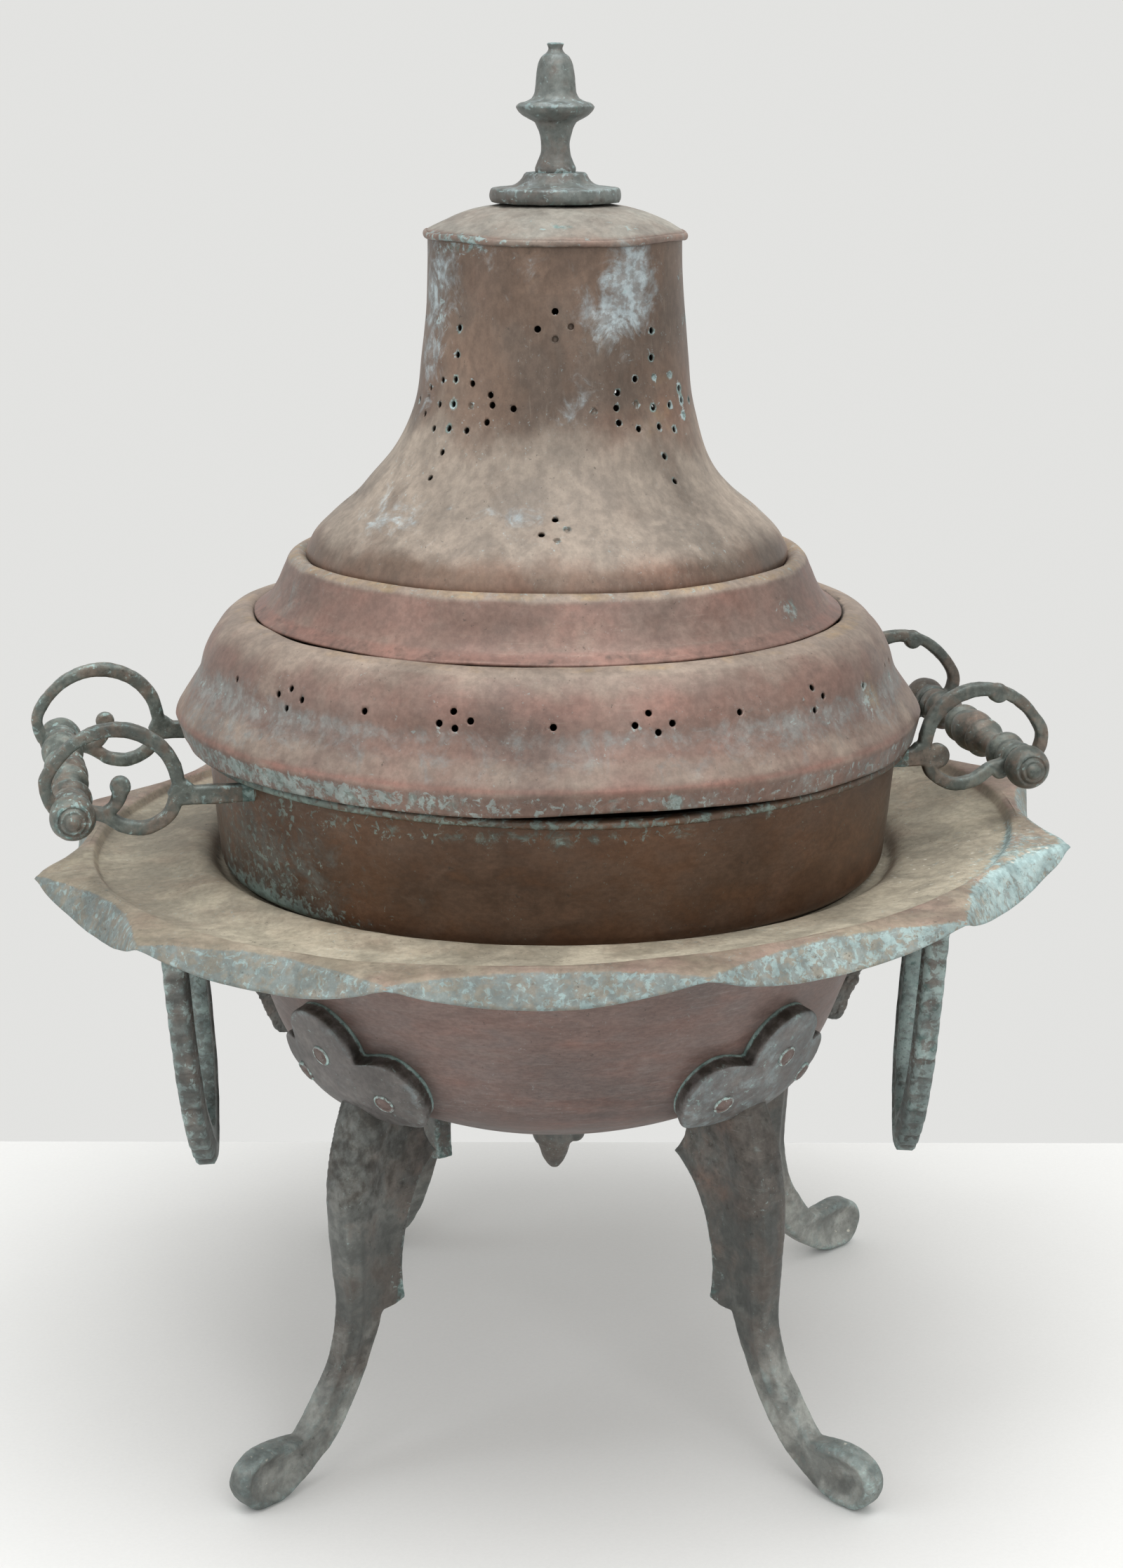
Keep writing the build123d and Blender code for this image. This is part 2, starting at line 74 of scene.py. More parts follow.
# outer faces as (radius, height)
BOWL = [(214, 361.2), (200, 322), (187, 286), (168, 246), (130, 221.5), (75, 200.5), (6, 192)]
SKIRT = [(179.6, 519), (182.6, 522.6), (193, 521.5), (204, 513), (210.5, 502), (215, 487), (220.5, 477.5),
         (226.5, 468.6), (229.6, 463.8), (230.6, 461.4), (230.2, 458.8), (228.8, 452.5), (227.8, 448)]
TIER = [(144.5, 552), (148.4, 556.4), (153, 558.9), (157.5, 556.8), (161, 550), (166, 538.5), (173, 528.5),
        (180.5, 523.5)]
BELL = [(76.7, 750), (77.2, 730), (78.6, 705), (81.2, 678), (86.5, 645), (97, 616), (113, 596),
        (131, 581), (143.5, 567), (147, 557), (144, 550.5)]
CAP = [(7, 768.6), (22, 768.5), (38, 767.4), (58, 762.5), (72, 756), (77.6, 752.8)]
CAP_LIP_R, CAP_LIP_Z = 78.4, 750.6


# ---- lines and noise ----
def smooth(points, step):
    """Points about every step along a smooth line through the given ones."""
    p = np.array(points, float)
    h = np.linalg.norm(np.diff(p, axis=0), axis=1)
    slope = np.diff(p, axis=0) / h[:, None]
    m = np.empty_like(p)
    m[1:-1] = (slope[:-1] * h[1:, None] + slope[1:] * h[:-1, None]) / (h[:-1] + h[1:])[:, None]
    m[0], m[-1] = 1.5 * slope[0] - 0.5 * m[1], 1.5 * slope[-1] - 0.5 * m[-2]
    out = []
    for i in range(len(h)):
        t = np.linspace(0, 1, max(2, int(np.ceil(h[i] / step)) + 1))[:-1, None]
        out.append((2 * t**3 - 3 * t**2 + 1) * p[i] + (t**3 - 2 * t**2 + t) * h[i] * m[i]
                   + (3 * t**2 - 2 * t**3) * p[i + 1] + (t**3 - t**2) * h[i] * m[i + 1])
    return np.vstack(out + [p[-1:]])


def offset_line(line, t):
    """A line moved sideways by t, to the left of its travel."""
    d = np.gradient(line, axis=0)
    d /= np.linalg.norm(d, axis=1)[:, None]
    return line + t * np.column_stack([-d[:, 1], d[:, 0]])


def ripple(points, size, seed, octaves):
    """Smooth noise of about -1 to 1, its bumps about size across."""
    shift = np.array([seed * 17.3, seed * 5.1, seed * 9.7])
    return np.array([noise.fractal(p, 1.0, 2.0, octaves) for p in np.asarray(points) / size + shift])


def ease(x, low, high):
    """0 below low, 1 above high and smooth between."""
    t = np.clip((x - low) / (high - low), 0, 1)
    return t * t * (3 - 2 * t)


def bell_curve(x, middle, wide):
    """1 at the middle, falling to near 0 at twice the width."""
    return np.exp(-((x - middle) / wide) ** 2)


def turned_from(az, middle=0.0):
    """Azimuths counted from a middle one, from -180 to 180."""
    return (az - middle + 180) % 360 - 180


def spots_on(az, r, z):
    """Makes soft spots on a round wall, each at an azimuth and a height and of given half sizes."""
    def spot(at_az, at_z, wide, tall):
        across = np.radians(turned_from(az, at_az)) * r
        return np.exp(-(across / wide) ** 2 - ((z - at_z) / tall) ** 2)
    return spot


def polar_of(p):
    """Azimuth in degrees, radius and height of points."""
    return np.degrees(np.arctan2(p[:, 0], -p[:, 1])), np.hypot(p[:, 0], p[:, 1]), p[:, 2]


def polar(azimuth, radius, z=0.0):
    """Point at an azimuth, a radius and a height."""
    a = radians(azimuth)
    return Vector((radius * sin(a), -radius * cos(a), z))


def round_points(az, r, z):
    """Points at azimuths, radii and heights, along a new last axis."""
    a = np.radians(az)
    return np.stack([r * np.sin(a), -r * np.cos(a), z], axis=-1)


# ---- meshes ----
def grid_faces(rows, cols, wrap_rows=False):
    """Quads between closed rows of points, the last row joined to the first where wrap_rows."""
    i = np.arange(rows if wrap_rows else rows - 1)[:, None]
    j = np.arange(cols)[None, :]
    a, b = i * cols + j, i * cols + (j + 1) % cols
    k = (i + 1) % rows * cols
    return np.stack([a, k + j, k + (j + 1) % cols, b], axis=-1).reshape(-1, 4)


def capped_faces(rows, cols):
    """Quads between closed rows of points, and a face across the first row and the last."""
    last = rows * cols
    return [list(f) for f in grid_faces(rows, cols)] + [list(range(cols)),
                                                        list(range(last - 1, last - cols - 1, -1))]


def linked(name, mesh):
    obj = bpy.data.objects.new(name, mesh)
    bpy.context.scene.collection.objects.link(obj)
    return obj


def mesh_object(name, points, faces):
    mesh = bpy.data.meshes.new(name)
    mesh.from_pydata((np.asarray(points, float) * MM).tolist(), [], [list(map(int, f)) for f in faces])
    return linked(name, mesh)


def mesh_of(name, bm):
    """The mesh that a bmesh holds, which is freed."""
    mesh = bpy.data.meshes.new(name)
    bm.to_mesh(mesh)
    bm.free()
    return mesh


def removed(obj):
    mesh = obj.data
    bpy.data.objects.remove(obj)
    bpy.data.meshes.remove(mesh)


def tidy_mesh(obj):
    """Welds doubled points and turns the faces outward."""
    bm = bmesh.new()
    bm.from_mesh(obj.data)
    bmesh.ops.remove_doubles(bm, verts=bm.verts, dist=1e-6)
    bmesh.ops.dissolve_degenerate(bm, edges=bm.edges, dist=1e-7)
    bmesh.ops.recalc_face_normals(bm, faces=bm.faces)
    bm.to_mesh(obj.data)
    bm.free()
    return obj


def vectors_of(obj, kind):
    value = np.empty(len(obj.data.vertices) * 3)
    obj.data.vertices.foreach_get(kind, value)
    return value.reshape(-1, 3)


def points_of(obj):
    return vectors_of(obj, "co") / MM


def normals_of(obj):
    return vectors_of(obj, "normal")


def skin_of(obj):
    """A round piece's points and normals, their azimuths, radii and heights, and its soft spots."""
    p = points_of(obj)
    az, r, z = polar_of(p)
    return p, normals_of(obj), az, r, z, spots_on(az, r, z)


def outwardness(p, n, r):
    """How far each normal points away from the axis, from -1 to 1."""
    return (p[:, :2] / np.maximum(r, 1)[:, None] * n[:, :2]).sum(1)


def move_points(obj, points):
    obj.data.vertices.foreach_set("co", (points * MM).ravel())
    obj.data.update()


def lathe(name, line, turns, push=None, loop=False):
    """Mesh turned about Z from (radius, height) points.

    push(azimuth, r, z) gives how far each point moves out and up.
    """
    az = np.linspace(0, 360, turns, endpoint=False)[None, :]
    r, z = np.array(line, float)[:, 0:1] + 0 * az, np.array(line, float)[:, 1:2] + 0 * az
    az = az + 0 * r
    if push:
        dr, dz = push(az.ravel(), r.ravel(), z.ravel())
        r, z = r + np.reshape(dr, r.shape) * (r > 0.5), z + np.reshape(dz, z.shape)
    points = round_points(az, r, z).reshape(-1, 3)
    return tidy_mesh(mesh_object(name, points, grid_faces(len(line), turns, wrap_rows=loop)))


def sheet_line(points, step, t=SHEET):
    """Closed section of a sheet whose outer face follows the points, with rounded edges."""
    outer = smooth(points, step)
    inner = offset_line(outer, -t)
    edges = []
    for end, beside in ((0, 1), (-1, -2)):
        way = outer[end] - outer[beside]
        edges.append((outer[end] + inner[end]) / 2 + way / np.linalg.norm(way) * t * 0.3)
    return np.vstack([edges[0], outer, edges[1], inner[::-1]])


def apply_all(obj):
    """Replaces a piece's mesh by what its modifiers make of it."""
    dg = bpy.context.evaluated_depsgraph_get()
    mesh = bpy.data.meshes.new_from_object(obj.evaluated_get(dg))
    obj.modifiers.clear()
    old, obj.data = obj.data, mesh
    bpy.data.meshes.remove(old)
    return obj


def join(name, parts):
    """One mesh holding every part's points and faces."""
    bm = bmesh.new()
    for part in parts:
        bm.from_mesh(part.data)
        removed(part)
    return linked(name, mesh_of(name, bm))


def fuse_modifiers(obj, voxel, rounds):
    """Fuses overlapping masses into one skin and softens their joins, as a casting's are."""
    fused = obj.modifiers.new("fuse", "REMESH")
    fused.mode, fused.voxel_size = "VOXEL", voxel * MM
    soft = obj.modifiers.new("soften", "SMOOTH")
    soft.factor, soft.iterations = 0.5, rounds


def cast(obj, voxel=CAST_VOXEL, rounds=3):
    fuse_modifiers(obj, voxel, rounds)
    return apply_all(obj)


def pitted(obj, depth, size, seed):
    """Uneven skin of an old casting."""
    p, n = points_of(obj), normals_of(obj)
    move = depth * ripple(p, size, seed, 4)
    move_points(obj, p + n * move[:, None])
    return obj


def bend_of(obj, rounds=4):
    """How convex each point's surroundings are: positive on edges, negative in creases."""
    p, n = points_of(obj), normals_of(obj)
    e = np.empty(len(obj.data.edges) * 2, int)
    obj.data.edges.foreach_get("vertices", e)
    a, b = e[0::2], e[1::2]
    d = p[b] - p[a]
    length = np.linalg.norm(d, axis=1) + 1e-9
    total, count = np.zeros(len(p)), np.zeros(len(p))
    for i, s in ((a, 1), (b, -1)):
        np.add.at(total, i, -(s * d * n[i]).sum(1) / length)
        np.add.at(count, i, 1)
    value = total / np.maximum(count, 1)
    for _ in range(rounds):
        total = np.zeros(len(p))
        np.add.at(total, a, value[b])
        np.add.at(total, b, value[a])
        value = 0.5 * value + 0.5 * total / np.maximum(count, 1)
    return value


def edges_of(bend, limit=0.2):
    return np.clip(bend, 0, limit)


def creases_of(bend, limit=0.2):
    return -np.clip(bend, -limit, 0)


def paint(obj, **layers):
    """Stores how much of each patina layer lies at each point, from 0 to 1."""
    for name, value in layers.items():
        layer = obj.data.attributes.new(name, "FLOAT", "POINT")
        full = np.zeros(len(obj.data.vertices)) + value
        layer.data.foreach_set("value", np.clip(full, 0, 1).astype(np.float32))
    return obj


def finish_piece(obj, body, material, slot, *nodes):
    """Gives a piece its material and its body, in place of CAD nodes; its slot argument is not used."""
    obj.data.materials.clear()
    obj.data.materials.append(material)
    obj.data.polygons.foreach_set("use_smooth", [True] * len(obj.data.polygons))
    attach(obj, body)
    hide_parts(*nodes)
    return obj


# ---- materials ----
TURQUOISE, PALE_TURQUOISE = (0.20, 0.40, 0.36), (0.46, 0.62, 0.59)
# the near-black below serves dark pits, grime and painted shade
BONE, GRIME_AND_SHADE_DARK, WARM, OCHRE = (0.55, 0.53, 0.46), (0.035, 0.03, 0.024), (0.30, 0.16, 0.11), (0.31, 0.21, 0.095)


class Tree:
    """Short names for the few kinds of nodes that the patinas use."""

    def __init__(self, name):
        self.material = bpy.data.materials.new(name)
        self.material.use_nodes = True
        self.tree = self.material.node_tree
        self.tree.nodes.clear()
        self.here = self.add("ShaderNodeTexCoord").outputs["Object"]
        self.made = 0

    def set(self, socket, value):
        if isinstance(value, bpy.types.NodeSocket):
            self.tree.links.new(value, socket)
        elif socket.type == "RGBA":
            socket.default_value = (*value, 1.0)
        else:
            socket.default_value = value

    def add(self, kind, inputs=(), **settings):
        node = self.tree.nodes.new(kind)
        for name, value in settings.items():
            setattr(node, name, value)
        for name, value in dict(inputs).items():
            self.set(node.inputs[name], value)
        return node

    def noise(self, scale, detail=5.0, roughness=0.6, stretch=(1, 1, 1), distortion=0.0):
        """Its own cloud of noise each time it is called."""
        self.made += 1
        shift = (self.made * 1.37, self.made * 0.71, self.made * 2.13)
        place = self.add("ShaderNodeMapping", {"Vector": self.here, "Scale": stretch, "Location": shift})
        return self.add("ShaderNodeTexNoise", {
            "Vector": place.outputs[0], "Scale": scale, "Detail": detail, "Roughness": roughness,
            "Distortion": distortion}).outputs["Fac"]

    def math(self, operation, a, b):
        node = self.add("ShaderNodeMath", operation=operation)
        self.set(node.inputs[0], a)
        self.set(node.inputs[1], b)
        return node.outputs[0]

    def times(self, a, b):
        return self.math("MULTIPLY", a, b)

    def plus(self, a, b):
        return self.math("ADD", a, b)

    def most(self, a, b):
        return self.math("MAXIMUM", a, b)

    def span(self, value, low, high, to_low=0.0, to_high=1.0):
        """Eased from to_low at low to to_high at high."""
        return self.add("ShaderNodeMapRange", {
            "Value": value, "From Min": low, "From Max": high, "To Min": to_low, "To Max": to_high},
            interpolation_type="SMOOTHSTEP").outputs[0]

    def layer(self, name):
        return self.add("ShaderNodeAttribute", attribute_name=name).outputs["Fac"]

    def patch(self, cloud, amount, soft):
        """Where the cloud and the painted amount together pass 1, with an edge of that softness."""
        return self.span(self.plus(cloud, amount), 1 - soft, 1 + soft)

    def mix(self, factor, a, b, blend="MIX"):
        node = self.add("ShaderNodeMix", data_type="RGBA", blend_type=blend)
        for at, value in ((0, factor), (6, a), (7, b)):
            self.set(node.inputs[at], value)
        return node.outputs[2]

    def finished(self, **inputs):
        """The material, its surface one shader with these inputs."""
        shader = self.add("ShaderNodeBsdfPrincipled", {k.replace("_", " "): v for k, v in inputs.items()})
        out = self.add("ShaderNodeOutputMaterial")
        self.tree.links.new(shader.outputs[0], out.inputs["Surface"])
        return self.material


def patina(name, base, second, dust, bloom, rough=0.5, metal=0.35, size=1.0, grain=(1, 1, 1), relief=0.25,
           warm=WARM, green=TURQUOISE, pale=PALE_TURQUOISE, scratch=0.2, blotch=0.3, dirt=0.0):
    """Weathered metal. Its painted layers are warm, dust, ochre, bloom with painted edge highlight, green,
    grime with painted shade, and speck.
    """
    t = Tree(name)
    big = t.noise(10 / size, 3, 0.5)
    mid = t.noise(36 / size, 7, 0.6, grain, 0.5)
    fine = t.noise(230, 5, 0.6, grain)
    tiny = t.noise(900, 2, 0.5)
    colour = t.mix(t.span(t.plus(t.times(big, 0.5), t.times(mid, 0.5)), 0.43, 0.57), base, second)
    warmth = t.patch(t.noise(24 / size, 6, 0.6, grain), t.layer("warm"), 0.32)
    colour = t.mix(t.times(warmth, 0.85), colour, warm)
    dusty = t.patch(t.noise(30 / size, 7, 0.6, grain), t.layer("dust"), 0.26)
    colour = t.mix(t.times(dusty, 0.85), colour, dust)
    stain = t.patch(t.noise(60, 5, 0.6), t.layer("ochre"), 0.2)
    colour = t.mix(t.times(stain, 0.6), colour, OCHRE)
    # pale bloom, and painted highlight where the painted amounts lighten convex edges
    bloomy = t.patch(t.noise(50 / size, 10, 0.7, (1, 1, 1), 0.9), t.layer("bloom"), 0.13)
    bloomy = t.times(bloomy, t.span(t.noise(140, 6, 0.65), 0.42, 0.56, 0.45, 1.0))
    colour = t.mix(t.times(bloomy, 0.8), colour, bloom)
    greenish = t.patch(t.noise(75 / size, 9, 0.7, (1, 1, 1), 0.8), t.layer("green"), 0.09)
    colour = t.mix(t.times(greenish, 0.75), colour, t.mix(t.span(fine, 0.48, 0.66), green, pale))
    share = t.plus(t.times(t.layer("green"), 0.5), t.times(t.layer("bloom"), 0.3))
    flaky = t.patch(t.noise(210, 6, 0.66, (1, 1, 1), 0.6), t.plus(share, 0.12), 0.04)
    colour = t.mix(t.times(flaky, 0.7), colour, pale)
    # grime, and painted shade where the painted amounts darken inner faces, undersides and joins between
    # parts
    grime_and_shade_patch = t.patch(t.noise(90 / size, 6, 0.62), t.layer("grime"), 0.18)
    colour = t.mix(t.times(grime_and_shade_patch, 0.85), colour, GRIME_AND_SHADE_DARK)

    lines = t.noise(520, 3, 0.6, (0.07, 0.07, 1.0) if grain[2] >= 1 else (1.0, 1.0, 0.07))
    worn = t.times(t.span(lines, 0.58, 0.7), t.span(big, 0.42, 0.6, 0.1, 1.0))
    colour = t.mix(t.times(worn, scratch), colour, dust)
    freckle = t.times(t.span(t.noise(420, 4, 0.7), 0.63 - dirt, 0.67 - dirt),
                      t.span(t.noise(26, 5, 0.7), 0.48, 0.62))
    colour = t.mix(t.times(freckle, 0.5), colour, pale)
    pit = t.times(t.span(t.noise(340, 4, 0.7), 0.37 + dirt, 0.32 + dirt),
                  t.span(t.noise(38, 5, 0.7), 0.45, 0.6))
    colour = t.mix(t.times(pit, 0.55), colour, GRIME_AND_SHADE_DARK)
    cell = t.add("ShaderNodeTexVoronoi", {"Vector": t.here, "Scale": 150.0, "Randomness": 1.0})
    dot = t.times(t.span(t.plus(cell.outputs["Distance"], t.times(tiny, 0.3)), 0.36, 0.28),
                  t.patch(t.noise(95, 4, 0.7), t.layer("speck"), 0.02))
    colour = t.mix(t.times(dot, 0.8), colour, BONE)
    # the whole coat is a little lighter and darker from place to place, at four sizes
    for cloud, low, high, dark, light in (
            (t.noise(8, 2, 0.5), 0.36, 0.64, 1 - blotch * 0.4, 1 + blotch * 0.35),
            (mid, 0.38, 0.62, 1 - blotch * 0.5, 1 + blotch * 0.45),
            (fine, 0.36, 0.64, 0.89, 1.1), (tiny, 0.3, 0.7, 0.96, 1.04)):
        colour = t.mix(1.0, colour, t.span(cloud, low, high, dark, light), "MULTIPLY")

    crust = t.most(t.most(greenish, flaky), t.most(t.times(bloomy, 0.6), t.times(dusty, 0.7)))
    height = t.plus(t.times(fine, 0.06), t.times(tiny, 0.02))
    height = t.plus(height, t.times(mid, 0.3))
    height = t.plus(height, t.times(t.most(flaky, dot), 0.15))
    height = t.math("SUBTRACT", height, t.times(pit, 0.2))
    bump = t.add("ShaderNodeBump", {"Height": height, "Strength": relief, "Distance": 0.0012})
    metallic = t.span(crust, 0.0, 1.0, metal, 0.0)
    roughness = t.plus(t.span(mid, 0.3, 0.7, rough - 0.06, rough + 0.08), t.times(crust, 0.2))
    return t.finished(Base_Color=colour, Metallic=metallic, Roughness=roughness, Normal=bump.outputs[0])


LID = patina(
    "lid_patina", (0.205, 0.132, 0.107), (0.155, 0.108, 0.09), (0.255, 0.205, 0.165), (0.20, 0.205, 0.195),
    rough=0.48, warm=(0.24, 0.122, 0.096), green=(0.14, 0.20, 0.185), pale=(0.26, 0.32, 0.31))
CAP_SKIN = patina(
    "cap_patina", (0.215, 0.18, 0.15), (0.18, 0.14, 0.115), (0.285, 0.275, 0.24), (0.25, 0.28, 0.27),
    metal=0.3, warm=(0.22, 0.13, 0.10), green=(0.14, 0.26, 0.25), pale=(0.30, 0.42, 0.42))
NECK = patina(
    "neck_patina", (0.175, 0.117, 0.085), (0.115, 0.084, 0.065), (0.28, 0.235, 0.192), (0.41, 0.49, 0.52),
    rough=0.48, grain=(1, 1, 0.65), warm=(0.235, 0.122, 0.085), green=(0.14, 0.24, 0.225),
    pale=(0.33, 0.42, 0.43), blotch=0.4)
PAN = patina(
    "pan_patina", (0.125, 0.066, 0.038), (0.082, 0.049, 0.032), (0.13, 0.10, 0.078), (0.088, 0.092, 0.082),
    rough=0.42, metal=0.45, grain=(1, 1, 1.6), warm=(0.19, 0.082, 0.045), green=(0.085, 0.125, 0.11),
    pale=(0.15, 0.205, 0.185), scratch=0.15, blotch=0.45)
TRAY = patina(
    "tray_patina", (0.30, 0.255, 0.185), (0.245, 0.195, 0.145), (0.36, 0.325, 0.25), (0.20, 0.25, 0.25),
    rough=0.6, metal=0.15, warm=(0.26, 0.165, 0.14), green=(0.17, 0.25, 0.25), pale=(0.31, 0.42, 0.42),
    blotch=0.4, dirt=0.025)
BOWL_SKIN = patina(
    "bowl_patina", (0.185, 0.13, 0.115), (0.145, 0.112, 0.103), (0.235, 0.205, 0.19), (0.22, 0.22, 0.235),
    rough=0.46, metal=0.4, grain=(1, 1, 3.2), relief=0.15, warm=(0.22, 0.11, 0.085), scratch=0.5,
    green=(0.12, 0.2, 0.19), pale=(0.30, 0.36, 0.36))
FINIAL = patina(
    "finial_patina", (0.14, 0.155, 0.145), (0.108, 0.10, 0.09), (0.19, 0.205, 0.19), (0.26, 0.31, 0.32),
    metal=0.4, size=0.45, green=(0.10, 0.20, 0.185), pale=(0.27, 0.36, 0.36), blotch=0.4)
HANDLE = patina(
    "handle_patina", (0.13, 0.148, 0.132), (0.115, 0.096, 0.078), (0.21, 0.225, 0.205), (0.20, 0.265, 0.26),
    size=0.36, relief=0.45, green=(0.09, 0.18, 0.168), pale=(0.25, 0.35, 0.34), blotch=0.65, dirt=0.03)
STAND = patina(
    "stand_patina", (0.125, 0.13, 0.122), (0.10, 0.088, 0.078), (0.27, 0.28, 0.26), (0.185, 0.23, 0.222),
    rough=0.46, metal=0.4, size=0.7, relief=0.4, green=(0.09, 0.17, 0.158), pale=(0.25, 0.32, 0.31),
    blotch=0.6, dirt=0.02)
PLATE = patina(
    "plate_patina", (0.135, 0.124, 0.12), (0.11, 0.10, 0.095), (0.20, 0.188, 0.175), (0.19, 0.225, 0.23),
    size=0.7, green=(0.08, 0.18, 0.165), pale=(0.25, 0.34, 0.33), blotch=0.4)
RIVET = patina(
    "rivet_patina", (0.155, 0.11, 0.098), (0.12, 0.09, 0.08), (0.24, 0.21, 0.195), (0.30, 0.33, 0.33),
    rough=0.45, metal=0.4, size=0.4)


# ---- lid ----
def piercing(line, azimuth, height, depth):
    """Where a round piercing goes through a sheet, its direction inward, and how deep it is."""
    z, r = line[:, 1], line[:, 0]
    i = int(np.argmin(np.abs(z - height) + 0.001 * np.arange(len(z))))
    d = line[min(i + 1, len(z) - 1)] - line[max(i - 1, 0)]
    n = np.array([-d[1], d[0]]) / np.hypot(*d)
    n = n if n[0] > 0 else -n
    return polar(azimuth, r[i], z[i]), polar(azimuth, n[0], n[1]), depth


def pierce(obj, holes):
    """Punches round holes through a shell, or blind ones where they are clogged."""
    bm = bmesh.new()
    for at, out, depth in holes:
        turn = out.to_track_quat("Z", "Y").to_matrix().to_4x4()
        place = Matrix.Translation((at + out * (2.5 - depth / 2)) * MM) @ turn
        bmesh.ops.create_cone(bm, cap_ends=True, segments=14, radius1=PIERCING_R * 0.93 * MM,
                              radius2=PIERCING_R * 1.07 * MM, depth=(5 + depth) * MM, matrix=place)
    punches = linked("punches", mesh_of("punches", bm))
    cut = obj.modifiers.new("piercings", "BOOLEAN")
    cut.operation, cut.solver, cut.object = "DIFFERENCE", "MANIFOLD", punches
    apply_all(obj)
    removed(punches)
    return obj


def near_holes(points, holes, reach):
    """1 at a piercing and 0 beyond reach."""
    best = np.full(len(points), 1e9)
    for at, _, _ in holes:
        best = np.minimum(best, ((points - np.array(at)) ** 2).sum(1))
    return 1 - ease(np.sqrt(best), PIERCING_R, reach)


def hole_set(line, spots, seed):
    """Piercings at (azimuth, height) spots, a little unevenly placed, a few of them clogged."""
    rng = np.random.default_rng(seed)
    rise = np.argsort(line[:, 1])
    uneven, clogged_share = 0.9, 0.28
    holes = []
    for azimuth, height in spots:
        shift = rng.normal(0, 1, 2)
        clogged = rng.random() < clogged_share
        r = np.interp(height, line[rise, 1], line[rise, 0])
        holes.append(piercing(line, azimuth + degrees(shift[0] * uneven / r), height + shift[1] * uneven,
                              CLOGGED if clogged else PIERCED))
    return holes


def diamond(azimuth, height, gap_deg, gap_z):
    return [(azimuth + a * gap_deg, height + z * gap_z) for a, z in ((1, 0), (-1, 0), (0, 1), (0, -1))]


def dented(seed, depth, size):
    """Dents of a beaten sheet; the wide tiers also bulge a little to the left."""
    def push(az, r, z):
        p = round_points(az, r, z)
        bulge = LID_BULGE * bell_curve(turned_from(az, -90), 0, 50) - LID_SHIFT * np.sin(np.radians(az))
        bulge *= ease(r, 82, 108)
        return depth * ripple(p, size, seed, 2) + bulge, 0.5 * depth * ripple(p, size, seed + 7, 2)
    return push


def make_skirt():
    spots = []
    for k in range(LOBES):
        spots += diamond(15 + 30 * k, 497, 2.6, 5.5) + [(30 * k, 497)]
    holes = hole_set(smooth(SKIRT, 2.5), spots, 3)
    dents = dented(11, 2.2, 55)

    def push(az, r, z):
        dr, dz = dents(az, r, z)
        low = ease(-z, -475, -450)
        wave = 1.6 * np.sin(np.radians(az * 3 + 40)) + 1.1 * np.sin(np.radians(az * 7 + 10))
        return dr * (1 - 0.3 * low), dz * 0.6 + low * wave * 0.8
    obj = lathe("lid_skirt_shell", sheet_line(SKIRT, 2.2), 640, push, loop=True)
    pierce(obj, holes)
    p, n, az, r, z, spot = skin_of(obj)
    outside = ease(n[:, 2] + outwardness(p, n, r), -0.2, 0.3)
    up = np.clip(n[:, 2], 0, 1)
    rim = near_holes(p, holes, 5.5)
    band = ease(-z, -461.5, -458.5)
    crease = bell_curve(z, 463, 2.2)
    flare = ease(-z, -484, -474) * (1 - band)
    shoulder = bell_curve(z, 488, 9)
    # grime carries painted shade on the inner and downward faces and along the top lip under the tier; it is
    # also darker round the piercings
    paint(obj,
          dust=0.22 + 0.38 * up * ease(z, 505, 518) + 0.3 * ease(z, 519, 521.5) + 0.30 * flare
          + 0.16 * spot(-60, 505, 90, 30) + 0.2 * spot(72, 500, 60, 30) - 0.2 * crease - 0.15 * shoulder,
          bloom=0.18 + 0.30 * shoulder + 0.22 * flare * bell_curve(az, -5, 60) + 0.24 * band - 0.15 * crease
          + 0.2 * spot(68, 478, 60, 26) + 0.26 * spot(-66, 480, 90, 30) + 0.14 * spot(42, 482, 50, 18),
          green=0.12 + 0.20 * band + 0.14 * ease(z, 520.5, 523) + 0.26 * rim + 0.2 * spot(-40, 455, 130, 8)
          + 0.30 * spot(17, 454, 6, 8) + 0.25 * spot(60, 486, 9, 12),
          warm=0.20 + 0.26 * spot(8, 505, 190, 12) + 0.36 * crease * (1 - spot(75, 463, 60, 20))
          + 0.15 * spot(-62, 512, 60, 10),
          ochre=0.35 * ease(z, 520, 522) + 0.62 * spot(62, 488, 13, 15) + 0.3 * spot(72, 500, 30, 25),
          grime=0.10 + 0.35 * (1 - outside) + 0.22 * rim + 0.28 * ease(z, 519, 521) * (r < 181) + 0.12 * band,
          speck=0.08)
    finish_piece(obj, "lid", LID, "lid_copper", "lid_skirt")


def make_tier():
    obj = lathe("lid_tier_shell", sheet_line(TIER, 1.8), 480, dented(5, 1.1, 60), loop=True)
    _, n, _, _, z, spot = skin_of(obj)
    up = np.clip(n[:, 2], 0, 1)
    lip = ease(z, 553, 557)
    foot = ease(-z, -530, -527)
    # the foot, where the tier stands on the skirt, is darker and less dusty: painted shade
    paint(obj,
          dust=0.26 + 0.5 * lip + 0.14 * up * ease(-z, -545, -530) - 0.2 * foot,
          bloom=0.24 + 0.12 * lip - 0.1 * foot + 0.2 * spot(-70, 540, 50, 20),
          green=0.12 + 0.18 * lip + 0.10 * foot + 0.42 * spot(58, 537, 13, 9),
          warm=0.36 - 0.25 * lip + 0.2 * foot, grime=0.1 + 0.26 * foot, ochre=0.45 * lip, speck=0.08)
    finish_piece(obj, "lid", LID, "lid_copper", "lid_middle_tier")


